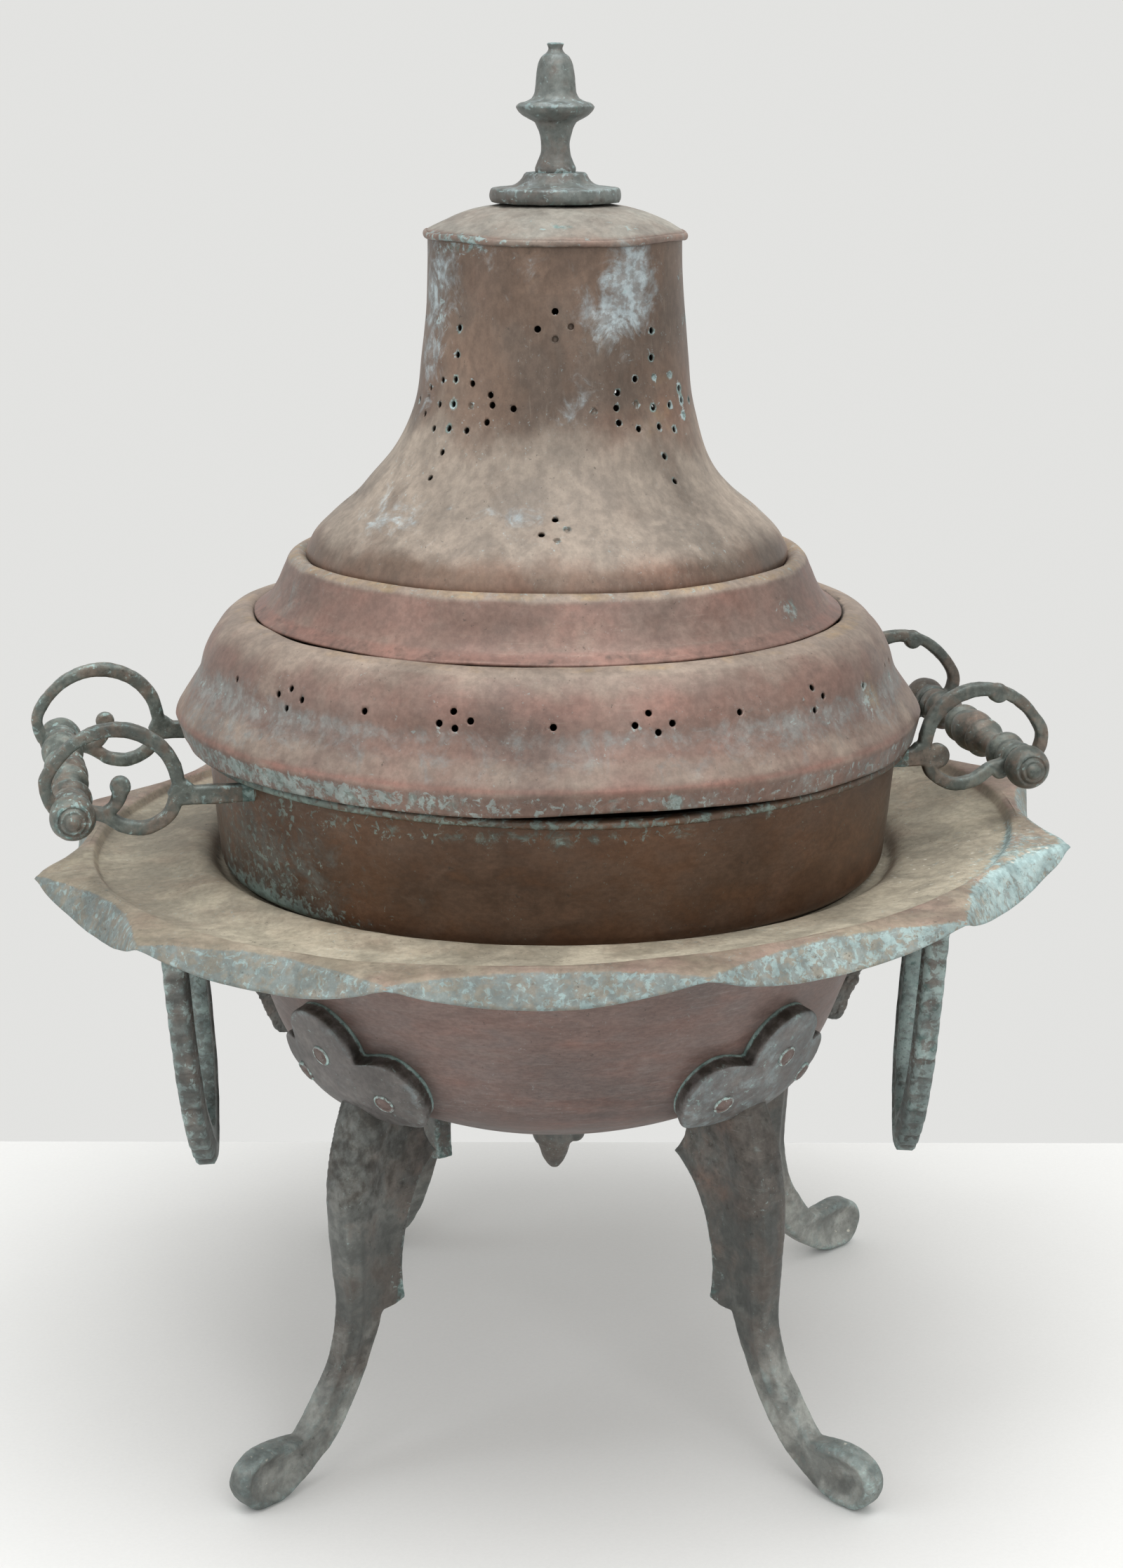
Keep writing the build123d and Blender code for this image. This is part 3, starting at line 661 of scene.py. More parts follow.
def bell_spots():
    """Four starry groups of piercings round the neck, with small diamonds between them."""
    spots = []
    for k in range(4):
        az, mid = 45 + 90 * k, 655
        spots.append((az, mid))
        for step in (1, 2, 3):
            spots += diamond(az, mid, 9.5 * step, 14.5 * step)
        for a in (-1, 1):
            for z in (-1, 1):
                spots += [(az + a * 9.5, mid + z * 14.5), (az + a * 18, mid + z * 8)]
        spots += diamond(90 * k, 701, 7.0, 8.0) + diamond(90 * k, 589, 3.2, 4.5)
    return spots


def make_bell():
    holes = hole_set(smooth(BELL, 1.5), bell_spots(), 8)
    dents = dented(2, 0.9, 50)

    def push(az, r, z):
        dr, dz = dents(az, r, z)
        return dr + 2.6 * spots_on(az, r, z)(-90, 612, 90, 24), dz
    obj = lathe("lid_bell_shell", sheet_line(BELL, 1.7), 440, push, loop=True)
    pierce(obj, holes)
    p, n, az, r, z, spot = skin_of(obj)
    up = np.clip(n[:, 2], 0, 1)
    rim = near_holes(p, holes, 5.0)
    inside = ease(-outwardness(p, n, r), 0.1, 0.4)
    # grime carries painted shade on the inner faces and a painted shadow band along the bell's lowest edge,
    # where it turns under; the neck is also darker towards the cap and round the piercings
    paint(obj,
          dust=0.22 + 0.44 * ease(-z, -665, -620) * ease(z, 560, 584) + 0.08 * up,
          bloom=0.22 + 0.40 * spot(36, 732, 22, 22) + 0.26 * spot(25, 703, 24, 26)
          + 0.30 * spot(-68, 705, 26, 60) + 0.14 * spot(-35, 735, 40, 18) + 0.24 * spot(-52, 590, 40, 16)
          + 0.24 * spot(8, 655, 12, 14) + 0.16 * spot(-10, 595, 30, 10),
          green=0.10 + 0.28 * spot(-60, 703, 7, 26) + 0.34 * spot(-48, 746, 40, 6)
          + 0.36 * spot(74, 715, 12, 42) + 0.26 * spot(62, 650, 9, 30) + 0.16 * spot(-46, 660, 9, 40)
          + (0.30 + 0.11 * ease(turned_from(az), 10, 40)) * rim + 0.22 * ease(-z, -557, -553),
          warm=0.18 + 0.24 * spot(38, 640, 60, 28) + 0.26 * spot(5, 572, 190, 12)
          + 0.2 * ease(-z, -566, -558),
          ochre=0.34 * spot(50, 655, 40, 40),
          grime=0.12 + 0.16 * ease(z, 685, 735) * (1 - spot(38, 728, 26, 26)) + 0.35 * inside + 0.25 * rim
          + 0.24 * ease(-z, -558, -552),
          speck=0.08)
    finish_piece(obj, "lid", NECK, "lid_copper", "lid_bell")


def make_cap():
    def push(az, r, z):
        """The crimped edge waves in and out, and hangs lower at the front."""
        edge = ease(r, 66, 79)
        a = np.radians(az)
        drop = -1.3 * bell_curve(az - 360 * (az > 180), 25, 50) + 0.7 * np.sin(5 * a) * np.cos(2 * a + 1)
        return edge * (0.8 * np.sin(7 * a + 0.6) * np.cos(3 * a)), edge * drop

    dome = lathe("dome", sheet_line(CAP, 1.6, 1.6), 360, push, loop=True)
    t = np.linspace(0, 2 * pi, 14, endpoint=False)
    lip = lathe("lip", np.column_stack([CAP_LIP_R + 1.6 * np.cos(t), CAP_LIP_Z + 2.1 * np.sin(t)]), 360,
                push, loop=True)
    obj = join("lid_cap_shell", [dome, lip])
    pitted(obj, 0.25, 14, 4)
    _, _, az, r, z, spot = skin_of(obj)
    edge = ease(r, 74, 78.5)
    # grime carries painted shade under the crimped edge and round the finial's foot
    paint(obj,
          dust=0.60 - 0.34 * edge, bloom=0.28 + 0.12 * edge,
          green=0.12 + 0.26 * edge * bell_curve(az, -45, 38) + 0.3 * spot(0, 758, 40, 3)
          + 0.2 * spot(45, 757, 14, 4) + 0.08 * edge,
          warm=0.24 + 0.3 * edge, grime=0.1 + 0.3 * ease(-z, -750, -748) + 0.35 * ease(-r, -42, -39),
          speck=0.1)
    finish_piece(obj, "lid", CAP_SKIN, "lid_copper", "lid_cap")


def turned_piece(name, line, turns, seed, rough_depth, node):
    obj = lathe(name, line, turns)
    pitted(obj, rough_depth, 9, seed)
    bend = bend_of(obj)
    top = np.clip(normals_of(obj)[:, 2], 0, 1)
    # bloom is paler on tops and carries a painted highlight on convex edges; grime is darker in creases and
    # carries painted shade on the sides and undersides
    paint(obj, dust=0.22 + 0.2 * top, bloom=0.26 + 0.2 * top + 1.2 * edges_of(bend, 0.15),
          green=0.28 + 1.4 * edges_of(bend, 0.12) + 0.6 * creases_of(bend), warm=0.15,
          grime=0.16 + 1.8 * creases_of(bend) + 0.16 * (1 - top), speck=0.18)
    finish_piece(obj, "lid", FINIAL, "cast_finial", node)


def make_finial():
    low_step = smooth([(38.4, 769.4), (39.3, 771), (39.4, 775), (38.4, 777.4), (36, 778)], 0.6)
    cove = smooth([(30, 778.5), (26, 779.2), (22.3, 781), (20, 783.5), (18.9, 785.6)], 0.8)
    base = np.vstack([[(0, 769)], [(36.5, 769)], low_step, cove, smooth([(18.4, 786.2), (17, 786.6)], 0.5),
                      [(0, 786.6)]])
    turned_piece("finial_stepped_base", base, 160, 3, 0.2, "finial_base")
    stem = smooth([(12.0, 786.5), (12.3, 788.5), (10.9, 792.5), (9.2, 797), (8.6, 802), (9.4, 808),
                   (11.2, 813.5), (12.6, 816)], 0.8)
    brim = smooth([(14.5, 817.2), (19.5, 820), (22.6, 823), (23.4, 825), (22.0, 826.6), (17.5, 828.3),
                   (14, 830.3), (12.4, 833.5)], 0.7)
    bud = smooth([(11.9, 838), (11.5, 844), (10.2, 850), (7.8, 854.4), (5.2, 856.6), (4.4, 858.2),
                  (4.9, 860.2), (5.2, 861.2), (4.2, 861.9)], 0.7)
    knob = np.vstack([[(0, 786.5)], stem, brim, bud, [(0, 861.9)]])
    turned_piece("finial_turned_knob", knob, 120, 6, 0.35, "finial_knob")


# ---- fire pan ----
def pan_line():
    """Outer face, beaded flange and inner face of the pan."""
    floor, low, top, flange = SEAT_Z + 0.3, PAN_R_LOW, PAN_R_TOP, PAN_FLANGE_R
    outer = [(0, floor), (100, floor), (low - 9, floor)]
    corner = smooth([(low - 6, floor + 0.3), (low - 2.2, floor + 2.6), (low, floor + 8)], 1.2)
    wall = smooth([(low + 0.2, floor + 10), (low + 3.2, floor + 40), (top - 0.2, PAN_TOP_Z - 7)], 2.5)
    bead = smooth([(r, PAN_TOP_Z - down) for r, down in (
        (top + 2, 5.8), (flange - 3, 5.9), (flange - 0.4, 4.6), (flange, 2.6), (flange - 1.6, 0.3),
        (flange - 5, 0.2), (top - 1, 0.6))], 0.9)
    inner = smooth([(top - 2.1, PAN_TOP_Z - 6), (low + 1.2, floor + 40), (low - 1.8, floor + 9)], 4)
    inside = smooth([(low - 4, floor + 4.4), (low - 8, floor + 2.3)], 2)
    return np.vstack([outer, corner, wall, bead, inner, inside, [(100, floor + SHEET), (0, floor + SHEET)]])


def make_pan():
    def push(az, r, z):
        """The bead is wavy and bent in at the front, and the wall a little dented."""
        p = round_points(az, r, z)
        on_bead = ease(z, PAN_TOP_Z - 9, PAN_TOP_Z - 5)
        wavy = 0.35 * ripple(p, 9, 5, 2) + 0.25 * ripple(p, 28, 9, 2)
        wavy -= 3.2 * bell_curve(turned_from(az), 12, 24) * on_bead
        out = on_bead * np.maximum(wavy, -1) + (1 - on_bead) * 0.5 * ripple(p, 70, 8, 2)
        return out, on_bead * (wavy - 0.5) * 0.7
    obj = lathe("pan_sheet", pan_line(), 720, push)
    move_points(obj, points_of(obj) - (PAN_SHIFT, 0, 0))
    p, n, az, r, z, spot = skin_of(obj)
    left = bell_curve(az, -55, 28)
    inside = ease(-outwardness(p, n, r), 0.1, 0.4) + (n[:, 2] > 0.7) * (r < 205)
    bead_top = ease(z, PAN_TOP_Z - 9, PAN_TOP_Z - 5.5)
    # grime is darker on the inner faces and the floor, and carries painted shade in the band at the foot,
    # where the pan sits down in the tray's recess
    paint(obj,
          dust=0.16 + 0.1 * left + 0.3 * inside * (z < 380) + 0.22 * bead_top,
          bloom=0.20 + 0.22 * left * ease(-z, -438, -400) + 0.2 * left + 0.22 * bead_top
          + 0.12 * spot(75, 400, 60, 30),
          green=0.10 + 0.24 * bead_top + 0.32 * spot(-5, 432, 170, 9) + 0.3 * spot(-55, 370, 90, 8)
          + 0.16 * left + 0.34 * spot(-83, 395, 10, 30) + 0.12 * spot(30, 436, 100, 7),
          warm=0.16 + 0.2 * spot(-50, 395, 40, 18),
          grime=0.18 + 0.3 * np.clip(inside, 0, 1) + 0.16 * ease(-z, -372, -366),
          speck=0.2)
    finish_piece(obj, "pan", PAN, "pan_copper", "fire_pan")


# ---- tray ----
LOBE_STEP = 360 / LOBES


def to_tip(az):
    """0 at the middle of a lobe and 1 at the points beside it."""
    return np.abs((az + LOBE_STEP / 2) % LOBE_STEP - LOBE_STEP / 2) / (LOBE_STEP / 2)


def lobe_edge(az):
    """The tray's outline at an azimuth: hollowed sides between blunted points."""
    d = np.radians((az + LOBE_STEP / 2) % LOBE_STEP - LOBE_STEP / 2)
    half = radians(LOBE_STEP / 2)
    tip_x, tip_y = TIP_R * sin(half), TIP_R * cos(half)
    sag = tip_y - LOBE_MID_R
    big = (tip_x**2 + sag**2) / (2 * sag)
    middle = LOBE_MID_R + big
    point = (half - np.abs(d)) * TIP_R
    return middle * np.cos(d) - np.sqrt(big**2 - (middle * np.sin(d)) ** 2) - 2.6 * np.exp(-(point / 9) ** 2)


def ridge_at(az):
    """Where the tray's flat border ends and its apron begins to slope down."""
    return lobe_edge(az) - 9.5 * (1 - to_tip(az) ** 2)


def tray_rows(az):
    """The tray's section at each azimuth, as rows of radii and heights from its mouth out and back."""
    edge, ridge, away = lobe_edge(az), ridge_at(az), to_tip(az)
    deep = 2.5 + (APRON - 3.0) * (1 - away**2.2) * (1 + 0.16 * (1 - np.cos(np.radians(az))))
    plate = smooth([(197, SEAT_Z), (212.4, SEAT_Z), (215, SEAT_Z + 2.4), (217.5, SEAT_Z + 5.2),
                    (248, SEAT_Z + 9.7), (280.5, 378.2)], 3.5)
    fold = smooth([(282, 378.8), (283.6, 381.2), (285.6, 383.8), (288.5, 384.6)], 1.0)
    rows = [(r + 0 * az, z + 0 * az) for r, z in np.vstack([plate, fold])]
    for f in np.linspace(0.1, 1, 10):
        r = 288.5 + (ridge - 5.2 - 288.5) * f
        crease = np.exp(-((1 - away) * radians(LOBE_STEP / 2) * r / 5) ** 2) * ease(r, 292, 318)
        rows.append((r, RIM_Z - 0.2 - 0.6 * f**2 * (1 - away**2) - 1.1 * crease))
    lip_z = rows[-1][1]
    for back, down in ((4.2, 0.25), (2.5, 0.75), (1.2, 1.5), (0.4, 2.6)):
        rows.append((ridge - back, lip_z - down))
    lean = edge - ridge
    for f in np.linspace(0.12, 1, 9):
        rows.append((ridge - 0.2 + lean * f**0.85, lip_z - 2.6 - (deep - 2.2) * f))
    top = list(rows)
    rows.append((rows[-1][0] - 1.0, rows[-1][1] - 0.7))
    for f in np.linspace(1, 0.15, 6):
        rows.append((ridge - 2.2 + lean * f**0.85, lip_z - 2.4 - (deep - 2.2) * f))
    for r, z in top[len(plate) + len(fold) + 9::-3]:
        rows.append((np.minimum(r, ridge - 3.8), z - 2.1))
    rows.append((196.6 + 0 * az, SEAT_Z - 1 + 0 * az))
    return rows


def make_tray():
    turns = 960
    az = np.linspace(0, 360, turns, endpoint=False)
    rows = tray_rows(az)
    r, z = np.array([a for a, _ in rows]), np.array([b for _, b in rows])
    points = round_points(az[None, :] + 0 * r, r, z).reshape(-1, 3)
    far = np.hypot(points[:, 0], points[:, 1])
    outer = ease(far, 225, 300)
    flat = points * (1, 1, 0)
    points[:, 2] += TRAY_TILT * points[:, 0] * ease(far, 216, 270) - 1.2 * outer
    points[:, 2] += 1.0 * outer * ripple(flat, 75, 21, 2) - 0.6 * outer
    points[:, 2] += 0.25 * ripple(flat, 16, 22, 2) * ease(far, 214, 225)
    points += flat / far[:, None] * (0.7 * ripple(points, 30, 23, 2) * ease(far, 296, 304))[:, None]
    obj = tidy_mesh(mesh_object("tray_sheet", points, grid_faces(len(rows), turns, wrap_rows=True)))

    p, n, az, r, z, spot = skin_of(obj)
    leftward = TRAY_SHIFT * ease(r, 222, 285) * (1 - 1.5 * ease(p[:, 0], -150, 300))
    move_points(obj, p - np.outer(leftward, (1, 0, 0)))
    rim = ridge_at(az)
    up = ease(n[:, 2], 0.62, 0.9)
    border = ease(r, 281, 286) * up
    apron = ease(r - rim, -3, 0) * (1 - up)
    under = ease(-n[:, 2], 0.2, 0.7)
    right, left = bell_curve(az, 68, 20), bell_curve(az, -60, 40)
    edge_line, lip = bell_curve(r, 283, 2.5), bell_curve(r - rim, -2.5, 2.5)
    front_right = ease(az, -6, 14) * ease(-az, -100, -80)
    # grime carries painted shade on the undersides, in the ring round the mouth where the pan sits, and along
    # the step at the border's inner edge
    paint(obj,
          dust=0.32 + 0.24 * up * (1 - border) + 0.24 * border * left - 0.1 * apron + 0.2 * right * up
          + 0.3 * spot(-8, 380, 300, 30) * bell_curve(r, 262, 14),
          bloom=0.16 + 0.60 * apron + 0.16 * lip + 0.12 * right * up,
          green=0.12 + 0.02 * apron + 0.10 * apron * front_right + 0.10 * lip + 0.1 * right
          + 0.26 * right * ease(r, 250, 290) * (1 - 0.7 * apron) + 0.40 * right * edge_line
          + 0.16 * right * lip + 0.20 * bell_curve(r, 217, 4) * (az < -30),
          warm=0.16 + 0.32 * border * (1 - 0.9 * left) + 0.3 * border * spot(-100, 383, 90, 30)
          + 0.12 * edge_line * (1 - right),
          grime=0.12 + 0.22 * under + 0.3 * bell_curve(r, 214, 3.5) + 0.22 * edge_line * (1 - right),
          speck=0.32 * (1 - apron) * up + 0.2 * right)
    finish_piece(obj, "stand", TRAY, "tray_copper", "tray")


# ---- bowl, plates and rivets ----
BOWL_R, BOWL_Z = smooth(BOWL, 1.0)[::-1].T
BOWL_SLOPE = np.gradient(BOWL_R, BOWL_Z)


def on_bowl(y, z, off):
    """Point off the bowl's outer face where a plate drawn upright across +X has (y, z), and the normal."""
    r, slope = np.interp(z, BOWL_Z, BOWL_R), np.interp(z, BOWL_Z, BOWL_SLOPE)
    x = np.sqrt(np.maximum(r**2 - y**2, 1))
    n = np.stack([x / r, y / r, -slope], axis=-1)
    n /= np.linalg.norm(n, axis=-1)[..., None]
    return np.stack([x, y + 0 * x, z + 0 * x], axis=-1) + n * np.asarray(off)[..., None], n


def bowl_distance(p):
    """About how far points stand off the bowl's outer face."""
    _, r, z = polar_of(p)
    return (r - np.interp(z, BOWL_Z, BOWL_R)) / np.sqrt(1 + np.interp(z, BOWL_Z, BOWL_SLOPE) ** 2)


def turned_to(points, azimuth):
    """Points drawn round +X, turned to an azimuth."""
    a = radians(azimuth - 90)
    return points @ np.array([[cos(a), sin(a), 0], [-sin(a), cos(a), 0], [0, 0, 1]])


def outboard_of(azimuth):
    """Which way along a plate leads to the nearer side of the brazier."""
    return 1 if azimuth > 0 else -1


def make_bowl():
    def push(az, r, z):
        p, low = round_points(az, r, z), ease(r, 30, 90)
        return 0.8 * ripple(p, 75, 31, 2) * low, 0.3 * ripple(p, 75, 35, 2) * low
    obj = lathe("bowl_sheet", sheet_line(BOWL, 2.5), 480, push, loop=True)
    p, n, az, r, z, spot = skin_of(obj)
    inside = ease(n[:, 2], 0.0, 0.3)
    near_plate = sum(spot(a, PLATE_MIDDLE_Z, 62, 34) for a in LEG_AZIMUTHS.values())
    # grime carries painted shade on the bowl's inner face and along its top, under the tray
    paint(obj,
          dust=0.24, bloom=0.24 + 0.1 * spot(-10, 225, 90, 25), green=0.10 + 0.14 * near_plate,
          warm=0.24 + 0.1 * spot(15, 250, 90, 60),
          grime=0.14 + 0.3 * inside + 0.12 * ease(z, 330, 360), speck=0.1)
    finish_piece(obj, "stand", BOWL_SKIN, "bowl_copper", "bowl")


def plate_reach(theta, outboard):
    """How far the plate's cloud outline is from its middle, in a direction. The outboard lobe is smaller."""
    far = np.linspace(0, 95, 381)
    y, z = far * cos(theta), PLATE_MIDDLE_Z + far * sin(theta)
    small = y * outboard > 0
    inside = y**2 + (z - 280) ** 2 < 27**2
    inside |= (np.abs(y) - np.where(small, 33, 44)) ** 2 + (z - 261) ** 2 < np.where(small, 18.5, 22)**2
    inside |= (np.abs(y) < np.where(small, 30, 38)) & (np.abs(z - 254) < 17)
    return far[inside].max()


def make_plate(name, azimuth, seed):
    turns = 200
    theta = np.linspace(0, 2 * pi, turns, endpoint=False)
    outboard = outboard_of(azimuth)
    reach = np.array([plate_reach(t, outboard) for t in theta])
    for _ in range(3):
        reach = (np.roll(reach, 1) + 2 * reach + np.roll(reach, -1)) / 4
    # from the middle of the face over the rounded edge to the bowl, then back to the middle underneath
    rows = [(reach * f - 2.2 * f, PLATE_T) for f in np.linspace(0, 1, 24)[:-1]]
    rows += [(reach - back, PLATE_T - down) for back, down in (
        (2.2, 0.0), (1.1, 0.35), (0.3, 1.2), (0.0, 2.6), (0.1, 5.0), (0.2, 8.0), (0.0, 10.0), (0.0, 11.6))]
    rows += [(reach * 0.6, -0.6), (reach * 0.0, -0.6)]
    points = []
    for far, off in rows:
        y, z = far * np.cos(theta), PLATE_MIDDLE_Z + far * np.sin(theta)
        thin = 1 - 0.3 * ease(y * outboard, 15, 48)
        points.append(on_bowl(y, z, off * thin)[0])
    obj = tidy_mesh(mesh_object(f"plate_{name}", turned_to(np.array(points).reshape(-1, 3), azimuth),
                                grid_faces(len(rows), turns)))
    pitted(obj, 0.35, 14, seed)
    bend, n, p = bend_of(obj), normals_of(obj), points_of(obj)
    z = p[:, 2]
    face = ease((n * turned_to(on_bowl(0 * z, z, 0 * z)[1], azimuth)).sum(1), 0.6, 0.9)
    seam = 1 - ease(bowl_distance(p), 0.5, 3.4)
    face_bloom = 0.12 if azimuth < 0 else 0.26
    # bloom carries a painted highlight on the convex edges; grime carries painted shade on the plate's sides
    paint(obj,
          dust=0.24 * face + 0.1, bloom=0.22 + face_bloom * face + 1.6 * edges_of(bend, 0.1),
          green=0.2 + 0.5 * seam + 0.1 * (1 - face), warm=0.05,
          grime=0.1 + 0.52 * (1 - face) * (1 - seam) - 1.5 * edges_of(bend, 0.1), speck=0.2 * face)
    finish_piece(obj, "stand", PLATE, "cast_plate", f"leg_plate_{name}")


def make_rivets():
    """Three rivets a plate, each a low hammered head in a shallow ring."""
    section = [(0, -1.5), (6.6, -1.5), (6.9, 0.2), (6.5, 0.9), (5.6, 1.0), (5.0, 0.55), (4.6, 0.6),
               (3.8, 1.15), (2.2, 1.6), (0, 1.75)]
    parts = []
    for azimuth in LEG_AZIMUTHS.values():
        outboard = outboard_of(azimuth)
        azimuth -= PLATE_TURN * outboard
        for side, z, thin in ((0.0, 277.0, 1.0), (-12.8 * outboard, 255.0, 1.0),
                              (9.6 * outboard, 256.0, 0.9)):
            at, n = on_bowl(np.array(0.0), np.array(z), np.array(PLATE_T * thin + 0.1))
            head = lathe("head", section, 40)
            across = np.cross([0, 0, 1], n)
            across /= np.linalg.norm(across)
            p = points_of(head) @ np.array([across, np.cross(n, across), n]) + at
            move_points(head, turned_to(p, azimuth + side))
            parts.append(head)
    obj = join("leg_rivet_heads", parts)
    pitted(obj, 0.25, 6, 9)
    bend = bend_of(obj, 1)
    # bloom carries a painted highlight on the convex edges; grime is darker in the creases
    paint(obj, dust=0.2, bloom=0.25 + 1.6 * edges_of(bend), green=0.2 + 1.2 * edges_of(bend),
          grime=0.1 + 1.5 * creases_of(bend), speck=0.2)
    finish_piece(obj, "stand", RIVET, "rivet_copper", "leg_rivets")


# ---- legs ----
def rounded(deep, wide, power, turns):
    """Points of a rounded box section, half sizes deep and wide."""
    t = np.linspace(0, 2 * pi, turns, endpoint=False)
    c, s = np.cos(t), np.sin(t)
    return np.column_stack([np.sign(c) * np.abs(c) ** (2 / power) * deep,
                            np.sign(s) * np.abs(s) ** (2 / power) * wide])


def slab(name, outline, thick, bulge):
    """Flat casting from an (u, z) outline, thick sideways, its edge rounded by bulge."""
    line = np.array(outline)
    beyond = np.roll(line, -1, axis=0)
    if (line[:, 0] * beyond[:, 1] - beyond[:, 0] * line[:, 1]).sum() < 0:
        line = line[::-1]
    d = np.roll(line, -1, axis=0) - np.roll(line, 1, axis=0)
    d /= np.maximum(np.linalg.norm(d, axis=1), 1e-9)[:, None]
    inward = np.column_stack([-d[:, 1], d[:, 0]])
    half = thick / 2
    rows = []
    for back, v in ((bulge, half), (bulge * 0.35, half - bulge * 0.25), (0, half - bulge),
                    (0, -half + bulge), (bulge * 0.35, -half + bulge * 0.25), (bulge, -half)):
        p = line + inward * back
        rows.append(np.column_stack([p[:, 0], np.full(len(p), v), p[:, 1]]))
    return tidy_mesh(mesh_object(name, np.vstack(rows), capped_faces(len(rows), len(line))))


# a leg's side view as (out, up), from the plate down its front and back up behind
SHIN = [(171, 253), (174, 243), (181, 226), (187, 208), (190.5, 190), (192, 165), (190.5, 130), (189.5, 104),
        (193, 85), (199.5, 68), (209.5, 54), (219.5, 41), (226.5, 34)]
TOE = [(226.5, 34), (240, 36), (253, 37), (264.5, 34.5), (273, 28), (275.8, 20), (272.5, 9.5), (264, 1.2),
       (255, 0.3)]
HEEL = [(255, 0.3), (246, 0.5), (233, 4.5), (218, 13), (204.5, 23), (193, 36), (175.5, 64.5), (164, 90),
        (161, 98)]
CALF = [(141.7, 101), (143.7, 120), (139, 148), (122.5, 180), (110, 190)]
THROAT = [(110, 190), (119.5, 205), (121, 219)]


def leg_outline():
    """Closed (out, up) outline of a leg's side."""
    step = np.column_stack([np.linspace(HEEL[-1][0], CALF[0][0], 9),
                            np.linspace(HEEL[-1][1], CALF[0][1], 9) - 1.2 * np.sin(np.linspace(0, pi, 9))])
    return np.vstack([smooth(SHIN, 2)[:-1], smooth(TOE, 2)[:-1], smooth(HEEL, 2)[:-1], step[:-1],
                      smooth(CALF, 2)[:-1], smooth(THROAT, 2), [(124, 236), (146, 246)]])


def edge_distance(p, line):
    """How far (out, up) points are from a closed outline."""
    best = np.full(len(p), 1e9)
    for a, b in zip(line, np.roll(line, -1, axis=0)):
        ab = b - a
        t = np.clip(((p - a) @ ab) / max(ab @ ab, 1e-9), 0, 1)
        best = np.minimum(best, np.hypot(*(p - a - t[:, None] * ab).T))
    return best


def leg_place(p, azimuth):
    """(out, sideways, up) points turned to the leg's azimuth."""
    a = radians(azimuth)
    u, v, z = p.T
    return np.column_stack([u * sin(a) + v * cos(a), -u * cos(a) + v * sin(a), z])


def make_leg(name, azimuth, seed):
    outline = leg_outline()
    obj = cast(slab(f"leg_{name}_casting", outline, LEG_T, 1.6))
    p, n = points_of(obj), normals_of(obj)
    u, v, z = p.T
    side = ease(np.abs(n[:, 1]), 0.55, 0.9)
    shin = smooth(SHIN, 2)
    front = edge_distance(p[:, [0, 2]], np.vstack([shin, shin[::-1]]))
    # the shin is thicker than the calf, and a ridge runs down it to the foot
    top = ease(z, 95, 190)
    swell = (1.2 + 4.6 * top) * np.exp(-((front - 9 - 5 * top) / (9 + 7 * top)) ** 2) * ease(z, 20, 60)
    ridge = 1.3 * bell_curve(front, 9.5, 2.6) * ease(z, 34, 60) * ease(-z, -190, -120)
    # a groove curls off the calf's foot, and a raised rim goes round the toe
    tail = np.exp(-(((u - 152) - 0.42 * (z - 118)) / 5.0) ** 2) * ease(-z, -150, -112) * ease(z, 97, 106)
    toe = ease(u, 226, 240) * ease(-z, -44, -36)
    edge = edge_distance(p[:, [0, 2]], outline)
    rim = toe * (1.5 * bell_curve(edge, 3.4, 2.4) - 1.1 * ease(edge, 4.5, 9.5))
    v = v + np.sign(v) * side * (swell + ridge - 1.7 * tail + rim)
    v = np.where(z > 104, v * (1 - 0.32 * ease(-u, -150, -112)), v)
    move_points(obj, np.column_stack([u, v, np.maximum(z, 0.25)]))
    pitted(obj, 0.5, 26, seed)
    pitted(obj, 0.17, 6, seed + 3)
    bend, n, p = bend_of(obj), normals_of(obj), points_of(obj)
    u, v, z = p.T
    inner = ease(-edge, -7, -2) * (u < 150) * (z > 98)
    low = ease(-z, -120, -40)
    sole = (1 - ease(edge, 1, 4)) * ease(u, 226, 240)
    # the upper legs, under the tray, are darker: painted shade
    under_tray_shade = 0.36 if name == "front_left" else 0.26
    # bloom carries a painted highlight on the convex edges; grime is darker in the creases
    paint(obj,
          dust=0.18 + 0.44 * low + 0.12 * np.clip(n[:, 2], 0, 1),
          bloom=0.22 + 1.5 * edges_of(bend, 0.12) + 0.16 * low + 0.2 * sole,
          green=0.16 + 0.22 * inner + 0.8 * edges_of(bend, 0.1) + 0.14 * (z < 8) + 0.2 * tail,
          warm=0.06 + 0.16 * ease(z, 110, 180) * side * ease(front, 6, 16),
          grime=0.14 + 1.6 * creases_of(bend, 0.15) + under_tray_shade * ease(z, 130, 200) - 0.1 * low,
          speck=0.22 + 0.2 * toe)
    placed = leg_place(p + (LEG_OUT[name], 0, 0), azimuth)
    placed[:, 0] += STAND_LEAN * ease(-z, -250, -120)
    move_points(obj, placed)
    finish_piece(obj, "stand", STAND, "cast_stand", f"leg_{name}")


# ---- handles ----
def band(name, path, width):
    """Bar of a handle casting: runs along (u, z) points, width in their plane."""
    d = np.gradient(path, axis=0)
    d /= np.linalg.norm(d, axis=1)[:, None]
    n = np.column_stack([-d[:, 1], d[:, 0]])
    width = np.zeros(len(path)) + width
    turns = 28
    box = rounded(0.5, ARM_T / 2, 5.0, turns)
    rows = []
    for i in range(len(path)):
        c = path[i] + np.outer(box[:, 0] * width[i], n[i])
        rows.append(np.column_stack([c[:, 0], box[:, 1], c[:, 1]]))
    return tidy_mesh(mesh_object(name, np.vstack(rows), capped_faces(len(rows), turns)))


